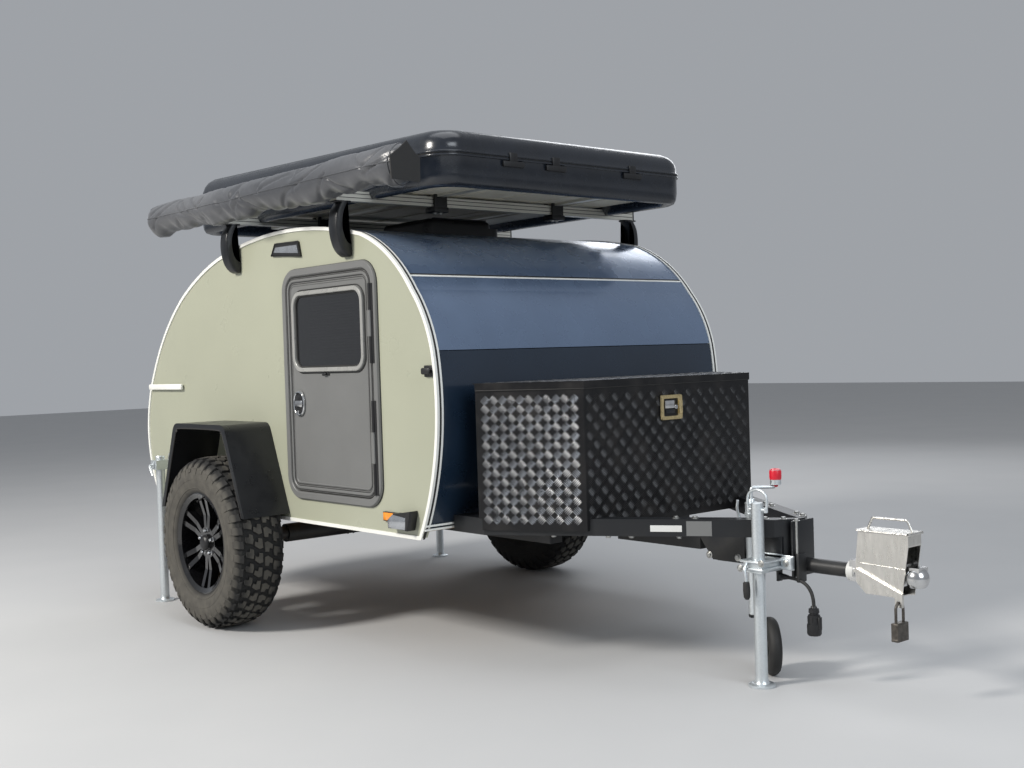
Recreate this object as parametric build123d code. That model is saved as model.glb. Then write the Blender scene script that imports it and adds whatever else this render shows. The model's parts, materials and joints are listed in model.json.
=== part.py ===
from build123d import *
import math
import os

os.makedirs("parts", exist_ok=True)

# Teardrop trailer, in millimetres. X runs forward to the coupling, Y to the left, Z up.
# Every length along X below is measured from the axle of the wheels; the finished pieces are
# moved back by ORIGIN_X, so that the origin lies on the floor under the middle of the trailer.
ORIGIN_X = 922

# Wheels
AXLE_Z = 372.5
TYRE_RADIUS = 372.5
TYRE_INNER_Y = 798
TYRE_OUTER_Y = 1042
RIM_RADIUS = 221
RIM_BORE = 196
RIM_OUTER_Y = 1022
RIM_INNER_Y = 826
SPOKE_COUNT = 6

# Body shell: the side outline is a chain of arcs, each from its start through a middle to its end.
BODY_HALF = 775
PANEL = 30
SKIN = 25
SHEET = 2
BODY_BOTTOM = 476
OUTLINE_START = (1277, BODY_BOTTOM)
OUTLINE_ARCS = [
    ((1396, 853), (1387, 1168)),
    ((1341, 1295), (1273, 1396)),
    ((1141, 1533), (947, 1635)),
    ((428, 1698), (-206, 1628)),
    ((-399, 1564), (-577, 1476)),
    ((-829, 1257), (-965, 1046)),
    ((-1018, 793), (-950, 556)),
]
TAIL_FOOT_X = -894
SEAM = 3
HATCH_GAP = 6
HATCH_HALF = BODY_HALF - 5
MIDDLE = (150, 1000)

# Where the skin is divided, as points on the outline
SEAM_FRONT_FOOT = (1291, 513)
SEAM_FRONT_LOW = (1387, 1168)
SEAM_FRONT_TOP = (1225, 1453)
SEAM_HATCH_TOP = (-577, 1476)
SEAM_HATCH_LOW = (-996, 654)
SEAM_TAIL_FOOT = (-934, 528)

FLOOR_BOTTOM = 497
FLOOR_TOP = 530
FLOOR_ENDS = (-875, 1258)
BULKHEAD_X = -330
BULKHEAD_THICK = 18
WORKTOP_REAR = -885
WORKTOP_TOP = 965
WORKTOP_THICK = 25
MATTRESS_ENDS = (-318, 1230)
MATTRESS_THICK = 120

# Door opening in the side panel
DOOR_REAR = 368
DOOR_FRONT = 1038
DOOR_LOW = 583
DOOR_HIGH = 1519
DOOR_CORNER = 84
DOOR_FRAME_OUT = 11
DOOR_FRAME_IN = 21
DOOR_GAP = 6
DOOR_THICK = 28
DOOR_FACE = BODY_HALF + 8
DOOR_LATCH = (472, 973)
HINGE_X = 1014
HINGE_Y = BODY_HALF + 15
HINGE_RADIUS = 6
HINGE_LEAF = 20
KNUCKLE_PLAY = 1
HINGE_SPANS = [(622, 986), (1130, 1436)]
WINDOW_MIDDLE = (707, 1268)
WINDOW_SIZE = (494, 301)
WINDOW_CORNER = 47

# Chassis
RAIL_BOTTOM = 437
RAIL_TOP = 497
RAIL_INNER = 330
RAIL_OUTER = 390
RAIL_REAR = -890
RAIL_FRONT = 1560
ARM_TOP = 557
ARM_WIDTH = 60
ARM_SLOPE = 0.657
ARM_OUTER_AT_BOX = 440
ARM_BEND_X = 1500
ARM_REAR = 1325
ARM_NOSE_X = 2360
APEX_X = 2404
APEX_HALF = 22

# Storage box on the drawbar
BOX_FRONT = 1830
BOX_REAR = 1490
BOX_FRONT_HALF = 457
BOX_REAR_HALF = 670
BOX_SKIRT = 515
BOX_FLOOR = 557
BOX_TOP = 1045
BOX_WALL = 3

# Coupling
TUBE_Z = 400
TUBE_RADIUS = 25
TUBE_REAR = 2040
TUBE_FRONT = 2610
BALL_X = 2838
BALL_RADIUS = 25

# Stands
PROP = (2338, -153)
PROP_TOP = 616
STAND_RADIUS = 21
LEG_X = -750
LEG_Y = 847
LEG_TOP = 702
JOCKEY = (2234, -52)
JOCKEY_WHEEL_RADIUS = 100
JOCKEY_OFFSET = 55

# Roof load
BAR_X = [-30, 860]
BAR_HALF = 827
BAR_BOTTOM = 1767
BAR_HIGH = 40
BAR_WIDE = 34
TENT_REAR = -620
TENT_FRONT = 1345
TENT_HALF = 682
TENT_BOTTOM = 1822
TENT_LIP = 1777
TENT_CORNER = 110
TENT_JOINT = 1902
TENT_TOP_REAR = 2062
TENT_TOP_FRONT = 2012
AWNING_REAR = -590
AWNING_FRONT = 1425
AWNING_INNER = 838
AWNING_OUTER = 966
AWNING_BOTTOM = 1757
AWNING_TOP = 1903


def save(node, *shapes):
    """Write one named piece, moved from the axle's frame to the trailer's own origin."""
    solids = []
    for shape in shapes:
        solids += [Pos(-ORIGIN_X, 0, 0) * solid for solid in shape.solids()]
    export_step(solids[0] if len(solids) == 1 else Compound(children=solids), f"parts/{node}.step")


def block(x0, x1, y0, y1, z0, z1):
    """A plain block between two corners."""
    return Pos((x0 + x1) / 2, (y0 + y1) / 2, (z0 + z1) / 2) * Box(x1 - x0, y1 - y0, z1 - z0)


def side_prism(sketch, y0, y1):
    """A side view, drawn as x and z, made solid from y0 to y1."""
    plane = Plane(origin=(0, y1, 0), x_dir=(1, 0, 0), z_dir=(0, -1, 0))
    return extrude(plane * sketch, amount=y1 - y0, dir=(0, -1, 0))


def front_prism(sketch, x0, x1):
    """A front view, drawn as y and z, made solid from x0 to x1."""
    plane = Plane(origin=(x0, 0, 0), x_dir=(0, 1, 0), z_dir=(1, 0, 0))
    return extrude(plane * sketch, amount=x1 - x0, dir=(1, 0, 0))


def plan_prism(points, z0, z1):
    """A plan view, drawn as x and y, made solid from z0 to z1."""
    outline = make_face(Polyline(*points, close=True))
    return Pos(0, 0, z0) * extrude(outline, amount=z1 - z0, dir=(0, 0, 1))


def upright(x, y, z0, z1, radius):
    """A vertical round bar."""
    return Pos(x, y, (z0 + z1) / 2) * Cylinder(radius, z1 - z0)


def across(x, z, y0, y1, radius):
    """A round bar along Y."""
    return Pos(x, (y0 + y1) / 2, z) * Rot(90, 0, 0) * Cylinder(radius, y1 - y0)


def along(y, z, x0, x1, radius):
    """A round bar along X."""
    return Pos((x0 + x1) / 2, y, z) * Rot(0, 90, 0) * Cylinder(radius, x1 - x0)


def other_side(shape):
    return mirror(shape, about=Plane.XZ)


def both_sides(shape):
    return [shape, other_side(shape)]


# Side outline of the body
def body_outline():
    edges = []
    start = OUTLINE_START
    for middle, end in OUTLINE_ARCS:
        edges.append(ThreePointArc(start, middle, end))
        start = end
    tail_foot = (TAIL_FOOT_X, BODY_BOTTOM)
    edges.append(Line(start, tail_foot))
    edges.append(Line(tail_foot, OUTLINE_START))
    return make_face(edges)


OUTLINE = body_outline()
INNER_OUTLINE = offset(OUTLINE, amount=-SKIN)


def beyond(point, reach=900):
    """The point on the line from the body's middle through a seam, well outside the skin."""
    length = math.dist(point, MIDDLE)
    return tuple(m + (p - m) * (length + reach) / length for p, m in zip(point, MIDDLE))


def door_shape(grow):
    """The rounded door outline, grown or shrunk all round."""
    width = DOOR_FRONT - DOOR_REAR + 2 * grow
    height = DOOR_HIGH - DOOR_LOW + 2 * grow
    middle = ((DOOR_FRONT + DOOR_REAR) / 2, (DOOR_HIGH + DOOR_LOW) / 2)
    return Pos(*middle) * RectangleRounded(width, height, DOOR_CORNER + grow)


def window_shape(grow):
    width, height = WINDOW_SIZE
    rounded = RectangleRounded(width + 2 * grow, height + 2 * grow, WINDOW_CORNER + grow)
    return Pos(*WINDOW_MIDDLE) * rounded


# Body panels: the side panels stand inside the outer sheet of the skin
def seam_wedge(first, second, corners, inset):
    """The wedge of the side view between two seams; corners closes it outside the body."""
    wedge = make_face(Polyline(MIDDLE, beyond(first), *corners, beyond(second), close=True))
    return offset(wedge, amount=-inset)


PANEL_INNER = BODY_HALF - PANEL
SHEET_BAND = OUTLINE - offset(OUTLINE, amount=-SHEET)


def skin_between(first, second, corners, inset=SEAM / 2):
    """A stretch of curved skin: the core between the side panels, and the sheet that laps their edges."""
    wedge = seam_wedge(first, second, corners, inset)
    core = side_prism((OUTLINE - INNER_OUTLINE) & wedge, -PANEL_INNER, PANEL_INNER)
    return core + side_prism(SHEET_BAND & wedge, -BODY_HALF, BODY_HALF)


HATCH_CORNERS = [(-2400, 1800)]
hatch_room = seam_wedge(SEAM_HATCH_TOP, SEAM_HATCH_LOW, HATCH_CORNERS, 0)
panel_sketch = offset(OUTLINE, amount=-SHEET) - door_shape(0)
panel_sketch -= (OUTLINE - offset(OUTLINE, amount=-SHEET - HATCH_GAP)) & hatch_room
side_panel = side_prism(panel_sketch, PANEL_INNER, BODY_HALF)
save("side_panel_left", side_panel)
save("side_panel_right", other_side(side_panel))

roof = skin_between(SEAM_FRONT_TOP, SEAM_HATCH_TOP, [(1400, 2400), (-1500, 2400)])
save("front_panel_upper", skin_between(SEAM_FRONT_LOW, SEAM_FRONT_TOP, [(2400, 2000)]))
save("front_panel_lower", skin_between(SEAM_FRONT_FOOT, SEAM_FRONT_LOW, [(2400, 800)]))
tail = skin_between(SEAM_HATCH_LOW, SEAM_TAIL_FOOT, [(-2400, 0)])
save("tail_panel", tail)
hatch_wedge = seam_wedge(SEAM_HATCH_TOP, SEAM_HATCH_LOW, HATCH_CORNERS, HATCH_GAP - SEAM / 2)
hatch = side_prism((OUTLINE - INNER_OUTLINE) & hatch_wedge, HATCH_GAP - PANEL_INNER, PANEL_INNER - HATCH_GAP)
hatch += side_prism(SHEET_BAND & hatch_wedge, -HATCH_HALF, HATCH_HALF)

# Hatch hinges: axis, and the directions along the skin and out of it
HATCH_HINGE = (-582, 1484)
HATCH_HINGE_RADIUS = 6
HATCH_ALONG = (-0.84, -0.5426)
HATCH_OUT = (-0.5426, 0.84)
HATCH_HINGE_MIDDLES = (-520, 0, 520)
HATCH_KNUCKLE = 30
HATCH_LEAF = 42
HATCH_LEAF_FACES = (-10.5, -5.5)


def hatch_leaf(low, high, y0, y1):
    """A leaf plate with its knuckle; low and high are measured along the skin from the axis."""
    points = []
    under, over = HATCH_LEAF_FACES
    for u, v in ((low, under), (high, under), (high, over), (low, over)):
        points.append(tuple(h + a * u + o * v for h, a, o in zip(HATCH_HINGE, HATCH_ALONG, HATCH_OUT)))
    leaf = side_prism(make_face(Polyline(*points, close=True)), y0, y1)
    return leaf + across(*HATCH_HINGE, y0, y1, HATCH_HINGE_RADIUS)


for middle in HATCH_HINGE_MIDDLES:
    hatch += hatch_leaf(0, HATCH_LEAF, middle - HATCH_KNUCKLE, middle + HATCH_KNUCKLE)
    for y0 in (middle - 2 * HATCH_KNUCKLE - 1, middle + HATCH_KNUCKLE + 1):
        roof += hatch_leaf(-HATCH_LEAF, 0, y0, y0 + HATCH_KNUCKLE)
save("roof_skin", roof)

# Rear hatch: the skin with a pull handle below
HANDLE_HALF = 90
HANDLE_Z = (700, 716)
handle = block(-1031, -1016, -HANDLE_HALF, HANDLE_HALF, *HANDLE_Z)
for y0 in (-HANDLE_HALF, HANDLE_HALF - 14):
    handle += block(-1022, -998, y0, y0 + 14, *HANDLE_Z)
save("rear_hatch", hatch + handle)

# Floor, bulkhead, worktop and mattress
floor_side = INNER_OUTLINE & Pos(0, (FLOOR_BOTTOM + FLOOR_TOP) / 2) * Rectangle(3000, FLOOR_TOP - FLOOR_BOTTOM)
floor_panel = side_prism(floor_side, -PANEL_INNER, PANEL_INNER)
floor_panel += block(*FLOOR_ENDS, -PANEL_INNER, PANEL_INNER, FLOOR_BOTTOM, FLOOR_TOP)
save("floor_panel", floor_panel)
bulkhead_side = INNER_OUTLINE & Pos(BULKHEAD_X, 1000) * Rectangle(BULKHEAD_THICK, 3000)
bulkhead = side_prism(bulkhead_side, -PANEL_INNER, PANEL_INNER)
bulkhead &= block(-600, 0, -PANEL_INNER, PANEL_INNER, FLOOR_TOP, 1560)
save("bulkhead", bulkhead)
worktop_ends = (WORKTOP_REAR, BULKHEAD_X - BULKHEAD_THICK / 2 - 2)
worktop_faces = (WORKTOP_TOP - WORKTOP_THICK, WORKTOP_TOP)
save("galley_worktop", block(*worktop_ends, -PANEL_INNER, PANEL_INNER, *worktop_faces))
mattress_half = PANEL_INNER - 8
mattress_top = FLOOR_TOP + MATTRESS_THICK
save("mattress", block(*MATTRESS_ENDS, -mattress_half, mattress_half, FLOOR_TOP, mattress_top))

# Pale edging round both side panels, with a flange round the corner on the skin, and two bars in front
EDGING_OUT = 4
EDGING_IN = 10
EDGING_THICK = 5
EDGING_FLANGE = 24
edging_ring = offset(OUTLINE, amount=EDGING_OUT) - offset(OUTLINE, amount=-EDGING_IN)
edging = side_prism(edging_ring, BODY_HALF, BODY_HALF + EDGING_THICK)
flange = (offset(OUTLINE, amount=EDGING_OUT) - OUTLINE) - hatch_room
flange &= Pos(0, 1300) * Rectangle(3000, 1570)
edging += side_prism(flange, BODY_HALF - EDGING_FLANGE, BODY_HALF)
trim_bars = block(1280, 1304, -BODY_HALF, BODY_HALF, 506, 513)
trim_bars += block(1284, 1310, -BODY_HALF, BODY_HALF, 521, 528)
trim_bars -= side_prism(OUTLINE, -BODY_HALF - 1, BODY_HALF + 1)
save("edge_trims", edging + other_side(edging) + trim_bars)

# Door frames, and doors that stand flush in them
door_frame = side_prism(door_shape(DOOR_FRAME_OUT) - door_shape(-DOOR_FRAME_IN), BODY_HALF, DOOR_FACE)
door_frame += side_prism(door_shape(0) - door_shape(-DOOR_FRAME_IN), BODY_HALF - DOOR_THICK, BODY_HALF)
save("door_frames", *both_sides(door_frame))
door = side_prism(door_shape(-DOOR_FRAME_IN - DOOR_GAP), DOOR_FACE - DOOR_THICK, DOOR_FACE)
door -= side_prism(window_shape(0), BODY_HALF - PANEL, BODY_HALF + 10)
hinge_fixed = []
for low, high in HINGE_SPANS:
    third = (high - low) / 3
    door_knuckle = (low + third + KNUCKLE_PLAY, high - third - KNUCKLE_PLAY)
    door += block(HINGE_X - HINGE_LEAF, HINGE_X, DOOR_FACE, HINGE_Y, *door_knuckle)
    door += upright(HINGE_X, HINGE_Y, *door_knuckle, HINGE_RADIUS)
    leaf = block(HINGE_X + 4, HINGE_X + HINGE_LEAF, DOOR_FACE, HINGE_Y, low, high)
    for z0 in (low, high - third):
        leaf += block(HINGE_X, HINGE_X + HINGE_LEAF, DOOR_FACE + 1, HINGE_Y, z0, z0 + third)
        leaf += upright(HINGE_X, HINGE_Y, z0, z0 + third, HINGE_RADIUS)
    leaf -= upright(HINGE_X, HINGE_Y, low + third, high - third, HINGE_RADIUS + 2)
    hinge_fixed += both_sides(leaf)
door += side_prism(Pos(*DOOR_LATCH) * RectangleRounded(80, 105, 30), DOOR_FACE, DOOR_FACE + 5)
door += side_prism(window_shape(16) - window_shape(-3), DOOR_FACE, DOOR_FACE + 4)
save("door_left", door)
save("door_right", other_side(door))
save("door_hinges", *hinge_fixed)
glass = side_prism(window_shape(0), DOOR_FACE - 8, DOOR_FACE)
save("window_glass_left", glass)
save("window_glass_right", other_side(glass))

# Chassis
rail = block(RAIL_REAR, RAIL_FRONT, RAIL_INNER, RAIL_OUTER, RAIL_BOTTOM, RAIL_TOP)
save("chassis_rails", *both_sides(rail))
CROSS_MEMBER_WIDE = 60
members = []
for x in (RAIL_REAR, -300, 500, 1140):
    members.append(block(x, x + CROSS_MEMBER_WIDE, -RAIL_INNER, RAIL_INNER, RAIL_BOTTOM, RAIL_TOP))
save("chassis_cross_members", *members)

# Drawbar: two arms that bend in to the apex
ARM_NOSE_OUTER = ARM_OUTER_AT_BOX - (ARM_NOSE_X - BOX_FRONT) * ARM_SLOPE
ARM_BEND_OUTER = ARM_OUTER_AT_BOX + (BOX_FRONT - ARM_BEND_X) * ARM_SLOPE
ARM_ACROSS = ARM_WIDTH * math.hypot(1, ARM_SLOPE)
ARM_BEND_INNER = ARM_BEND_OUTER - ARM_WIDTH
bend_back = (ARM_ACROSS - ARM_WIDTH) / ARM_SLOPE
apex_cut = ARM_NOSE_X - (ARM_ACROSS - ARM_NOSE_OUTER) / ARM_SLOPE
arm = plan_prism(
    [
        (ARM_REAR, ARM_BEND_OUTER),
        (ARM_BEND_X, ARM_BEND_OUTER),
        (ARM_NOSE_X, ARM_NOSE_OUTER),
        (APEX_X, APEX_HALF),
        (APEX_X, 0),
        (apex_cut, 0),
        (ARM_BEND_X - bend_back, ARM_BEND_INNER),
        (ARM_REAR, ARM_BEND_INNER),
    ],
    RAIL_TOP,
    ARM_TOP,
)


def arm_inner(x):
    """How far from the middle the inner face of a drawbar arm is, in front of its bend."""
    return ARM_NOSE_OUTER - ARM_ACROSS + (ARM_NOSE_X - x) * ARM_SLOPE


save("drawbar_arm_left", arm)
save("drawbar_arm_right", other_side(arm))
beam_half = ARM_BEND_INNER
beams = [block(x, x + CROSS_MEMBER_WIDE, -beam_half, beam_half, RAIL_TOP, ARM_TOP) for x in (1335, 1415)]
save("drawbar_cross_beams", *beams)
tube = along(0, TUBE_Z, TUBE_REAR, TUBE_FRONT, TUBE_RADIUS)
APEX_REAR = 2352
SPINE_BOTTOM = 414
SPINE_HALF = 33
SPINE_ENDS = (RAIL_FRONT, 2140)
CHEEK_ENDS = (1990, 2190)
CHEEK_BOTTOM = 385
CHEEK_THICK = 10
apex_plan = [
    (APEX_REAR, -68),
    (2374, -68),
    (APEX_X, -APEX_HALF),
    (APEX_X, APEX_HALF),
    (2374, 68),
    (APEX_REAR, 68),
]
apex = plan_prism(apex_plan, SPINE_BOTTOM, RAIL_TOP)
apex += block(APEX_REAR - 8, APEX_REAR, -67, -43, 344, 480)
spine = block(*SPINE_ENDS, -SPINE_HALF, SPINE_HALF, SPINE_BOTTOM, RAIL_TOP)
for y0 in (-SPINE_HALF - CHEEK_THICK, SPINE_HALF):
    spine += block(*CHEEK_ENDS, y0, y0 + CHEEK_THICK, CHEEK_BOTTOM, RAIL_TOP)
cheek_bevel = make_face(Polyline((1980, 380), (2050, 380), (1980, 470), close=True))
spine -= side_prism(cheek_bevel, -50, 50)
save("drawbar_spine", spine - tube, apex - tube)

# Coupling: tube, head with its ball socket, lock box, and the padlock that hangs from the lock arm
save("coupling_tube", tube)
HEAD_RADIUS = 38
NECK_RADIUS = 33
head = block(TUBE_FRONT, 2800, -30, 30, 372, 440)
head += along(0, TUBE_Z, TUBE_FRONT - 6, TUBE_FRONT + 20, NECK_RADIUS)
head -= along(0, TUBE_Z, TUBE_FRONT - 10, TUBE_FRONT, TUBE_RADIUS)
head += Pos(BALL_X, 0, TUBE_Z) * Sphere(HEAD_RADIUS)
head += block(2750, 2860, -26, 26, TUBE_Z, 436)
head -= Pos(BALL_X, 0, TUBE_Z) * Sphere(BALL_RADIUS)
head -= upright(BALL_X, 0, 300, TUBE_Z, BALL_RADIUS)
save("coupling_head", head)
LOCK_HALF = 38
LOCK_WALL = 3
LOCK_TOP = 540
LOCK_FOOT = 338
LOCK_EYE = (2799, 324)
lock_side = make_face(
    Polyline(
        (2651, LOCK_TOP),
        (2832, LOCK_TOP),
        (2832, 505),
        (2806, LOCK_FOOT),
        (2675, LOCK_FOOT),
        (2640, 372),
        (2640, 440),
        close=True,
    )
)
lock_inner = LOCK_HALF - LOCK_WALL
lock = side_prism(lock_side, -LOCK_HALF, LOCK_HALF)
lock -= side_prism(offset(lock_side, amount=-LOCK_WALL), -lock_inner, lock_inner)
lock -= block(2630, 2660, -30, 30, 372, 440)
lock -= block(2790, 2850, -lock_inner, lock_inner, 300, 500)
lock -= Pos(BALL_X, 0, TUBE_Z) * Sphere(HEAD_RADIUS + 2)
lock += block(2645, 2838, -LOCK_HALF - 4, LOCK_HALF + 4, LOCK_TOP, LOCK_TOP + 4)
lock_arm = make_face(
    Polyline((2634, 408), (2646, 418), (2812, 352), (2812, 310), (2786, 310), (2786, LOCK_FOOT), close=True)
)
lock_arm -= Pos(*LOCK_EYE) * Circle(7)
lock += side_prism(lock_arm, -LOCK_HALF - 10, -LOCK_HALF)
lock_handle = FilletPolyline((2664, 0, 543), (2682, 0, 580), (2808, 0, 580), (2826, 0, 543), radius=8)
lock += sweep(Plane(lock_handle @ 0, z_dir=lock_handle % 0) * Circle(4), path=lock_handle)
save("coupling_lock_box", lock)
SHACKLE_Y = -LOCK_HALF - 5
SHACKLE_HALF = 21
PADLOCK_TOP = 262
shackle_x, shackle_top = LOCK_EYE
shackle_line = FilletPolyline(
    (shackle_x, SHACKLE_Y - SHACKLE_HALF, PADLOCK_TOP),
    (shackle_x, SHACKLE_Y - SHACKLE_HALF, shackle_top),
    (shackle_x, SHACKLE_Y + SHACKLE_HALF, shackle_top),
    (shackle_x, SHACKLE_Y + SHACKLE_HALF, PADLOCK_TOP),
    radius=20,
)
shackle = sweep(Plane(shackle_line @ 0, z_dir=shackle_line % 0) * Circle(4.5), path=shackle_line)
lock_case = block(shackle_x - 12, shackle_x + 12, SHACKLE_Y - 30, SHACKLE_Y + 30, 206, PADLOCK_TOP)
save("padlock", lock_case + shackle)

# Axle
axle = across(170, 395, -701, 701, 40)
arm_link = plan_prism([(-45, 742), (215, 742), (215, 776), (-45, 776)], 350, 430)
arm_link += across(0, AXLE_Z, 776, 792, 60)
arm_link += across(170, 395, 701, 742, 30)
arm_link += across(0, AXLE_Z, 792, 797, 105)
arm_link += across(0, AXLE_Z, 797, 880, 18)
save("axle", axle + arm_link + other_side(arm_link))

# Wheels, drawn as half sections and turned about the axle
def turned(points):
    profile = make_face(Polyline(*points, close=True))
    plane = Plane(origin=(0, 0, AXLE_Z), x_dir=(0, 1, 0), z_dir=(1, 0, 0))
    return revolve(plane * profile, axis=Axis((0, 0, AXLE_Z), (0, 1, 0)), revolution_arc=360)


tyre = turned(
    [
        (820, RIM_RADIUS),
        (803, 250),
        (TYRE_INNER_Y, 300),
        (806, 338),
        (832, 364),
        (868, 371),
        (920, TYRE_RADIUS),
        (972, 371),
        (1008, 364),
        (1034, 338),
        (TYRE_OUTER_Y, 300),
        (1037, 250),
        (RIM_OUTER_Y, RIM_RADIUS),
        (1012, RIM_BORE + 8),
        (832, RIM_BORE + 8),
    ]
)
save("tyre_left", tyre)
save("tyre_right", other_side(tyre))
rim = turned(
    [
        (RIM_INNER_Y, RIM_BORE - 2),
        (832, RIM_BORE + 7.5),
        (1013, RIM_BORE + 7.5),
        (RIM_OUTER_Y + 1, RIM_RADIUS - 1),
        (RIM_OUTER_Y + 3, RIM_RADIUS - 6),
        (1015, RIM_BORE),
        (838, RIM_BORE),
    ]
)
rim += across(0, AXLE_Z, 940, 990, 68)
rim += across(0, AXLE_Z, 990, 1000, 36)
spoke_side = make_face(
    Polyline((52, 942), (52, 990), (120, 988), (197, 1006), (197, 974), (120, 950), close=True)
)
SPOKE_PLANE = Plane(origin=(0, 0, 0), x_dir=(0, 0, 1), z_dir=(-1, 0, 0))
for turn in range(SPOKE_COUNT):
    for lean, shift in ((7, 4), (-7, -4)):
        spoke = extrude(SPOKE_PLANE * spoke_side, amount=22, dir=(1, 0, 0))
        spoke = Pos(shift - 11, 0, 0) * spoke
        rim += Pos(0, 0, AXLE_Z) * Rot(0, turn * 360 / SPOKE_COUNT, 0) * Rot(0, lean, 0) * spoke
save("rim_left", rim)
save("rim_right", other_side(rim))
drum = across(0, AXLE_Z, 800, 905, 104) + across(0, AXLE_Z, 905, 940, 55)
drum -= across(0, AXLE_Z, 790, 885, 20)
save("hub_drum_left", drum)
save("hub_drum_right", other_side(drum))

# Fenders: a folded plate box with a turned-down lip
FENDER_OUTER = 1005
FENDER_LOW = 503
FENDER_HIGH = 888
FENDER_TOP_ENDS = (-255, 214)
FENDER_LOW_ENDS = (-404, 365)
FENDER_NARROWING = 19
FENDER_SHEET = 3
FENDER_LIP = 22
FENDER_CORNER = 48


def fender_block(inset, y0, y1):
    """The solid inside of the fender: a side view that narrows towards the body."""
    sections = []
    for y in (y0, y1):
        narrow = inset + FENDER_NARROWING * (FENDER_OUTER - y) / (FENDER_OUTER - BODY_HALF)
        top = FENDER_HIGH - inset
        corners = [
            (FENDER_LOW_ENDS[0] + narrow, FENDER_LOW),
            (FENDER_TOP_ENDS[0] + narrow, top),
            (FENDER_TOP_ENDS[1] - narrow, top),
            (FENDER_LOW_ENDS[1] - narrow, FENDER_LOW),
        ]
        side = make_face(Polyline(*corners, close=True))
        side = fillet(side.vertices().sort_by(Axis.Y)[-2:], radius=FENDER_CORNER - inset)
        sections.append(Plane(origin=(0, y, 0), x_dir=(1, 0, 0), z_dir=(0, -1, 0)) * side)
    return loft(sections, ruled=True)


fender = fender_block(0, BODY_HALF, FENDER_OUTER)
fender -= fender_block(FENDER_SHEET, BODY_HALF, FENDER_OUTER - FENDER_SHEET)
fender -= fender_block(FENDER_LIP, FENDER_OUTER - 2 * FENDER_SHEET, FENDER_OUTER)
save("fender_left", fender)
save("fender_right", other_side(fender))

# Storage box: a plated tray that follows the drawbar, and its lid
BOX_SLOPE = (BOX_REAR_HALF - BOX_FRONT_HALF) / (BOX_FRONT - BOX_REAR)


def box_plan(grow):
    lean = grow * (math.hypot(1, BOX_SLOPE) - BOX_SLOPE)
    back = grow * (math.hypot(1, BOX_SLOPE) + BOX_SLOPE)
    return [
        (BOX_FRONT + grow, BOX_FRONT_HALF + lean),
        (BOX_REAR - grow, BOX_REAR_HALF + back),
        (BOX_REAR - grow, -BOX_REAR_HALF - back),
        (BOX_FRONT + grow, -BOX_FRONT_HALF - lean),
    ]


walls = plan_prism(box_plan(0), BOX_FLOOR, BOX_TOP - BOX_WALL - 0.5)
walls -= plan_prism(box_plan(-BOX_WALL), BOX_FLOOR + BOX_WALL, BOX_TOP)
skirt = plan_prism(box_plan(0), BOX_SKIRT, BOX_FLOOR)
skirt -= plan_prism(box_plan(-BOX_WALL), BOX_SKIRT - 1, BOX_FLOOR)
notch = plan_prism([(1400, -735), (1400, 735), (2430, 91), (2430, -91)], BOX_SKIRT - 1, BOX_FLOOR)
skirt -= notch & block(1450, 1500, -800, 800, 400, 600)
skirt -= block(1800, 1850, -446, -362, 400, BOX_FLOOR) + block(1800, 1850, 362, 446, 400, BOX_FLOOR)
latch_plate = block(BOX_FRONT, BOX_FRONT + 5, -62, 46, 885, 975)
LID_HINGE = (1480, 1041)
LID_HINGE_RADIUS = 5
LID_KNUCKLE = 60
LID_LIP = 27
LID_UNDER = BOX_TOP - BOX_WALL
box_shell = walls + skirt + latch_plate
lid = plan_prism(box_plan(4), BOX_TOP - LID_LIP + 2, BOX_TOP)
lid -= plan_prism(box_plan(1.5), BOX_TOP - LID_LIP, LID_UNDER)
lid -= block(1400, BOX_REAR + 2, -800, 800, BOX_TOP - LID_LIP, LID_UNDER)
hinge_x, hinge_z = LID_HINGE
for middle in (-430, 0, 430):
    low = middle - LID_KNUCKLE / 2
    high = middle + LID_KNUCKLE / 2
    lid += across(*LID_HINGE, low, high, LID_HINGE_RADIUS)
    lid += block(hinge_x, hinge_x + 20, low, high, LID_UNDER, BOX_TOP + 1)
    for y0 in (low - LID_KNUCKLE - KNUCKLE_PLAY, high + KNUCKLE_PLAY):
        box_shell += across(*LID_HINGE, y0, y0 + LID_KNUCKLE, LID_HINGE_RADIUS)
        box_shell += block(hinge_x + 2, BOX_REAR, y0, y0 + LID_KNUCKLE, 1000, LID_UNDER - 1)
save("storage_box", box_shell)
save("storage_box_lid", lid)

# Stands
foot = upright(*PROP, 0, 8, 45)
prop = upright(*PROP, 8, PROP_TOP, STAND_RADIUS)
save("prop_stand", prop + foot)
collar = block(PROP[0] - 38, PROP[0] + 38, PROP[1] - 34, -68, 388, 428)
collar -= upright(*PROP, 380, 440, STAND_RADIUS + 0.8)
collar += block(PROP[0] - 38, PROP[0] + 38, -76, -68, 388, RAIL_TOP)
save("prop_clamp", collar)

leg = upright(LEG_X, LEG_Y, 8, LEG_TOP, STAND_RADIUS) + upright(LEG_X, LEG_Y, 0, 8, 44)
save("leg_left", leg)
save("leg_right", other_side(leg))
leg_bracket = block(LEG_X - 45, LEG_X + 45, BODY_HALF, BODY_HALF + 6, 620, 715)
leg_bracket += block(LEG_X - 30, LEG_X + 30, BODY_HALF + 6, LEG_Y + 34, 645, 690)
leg_bracket -= upright(LEG_X, LEG_Y, 635, 700, STAND_RADIUS + 0.8)
save("leg_brackets", *both_sides(leg_bracket))

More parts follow.
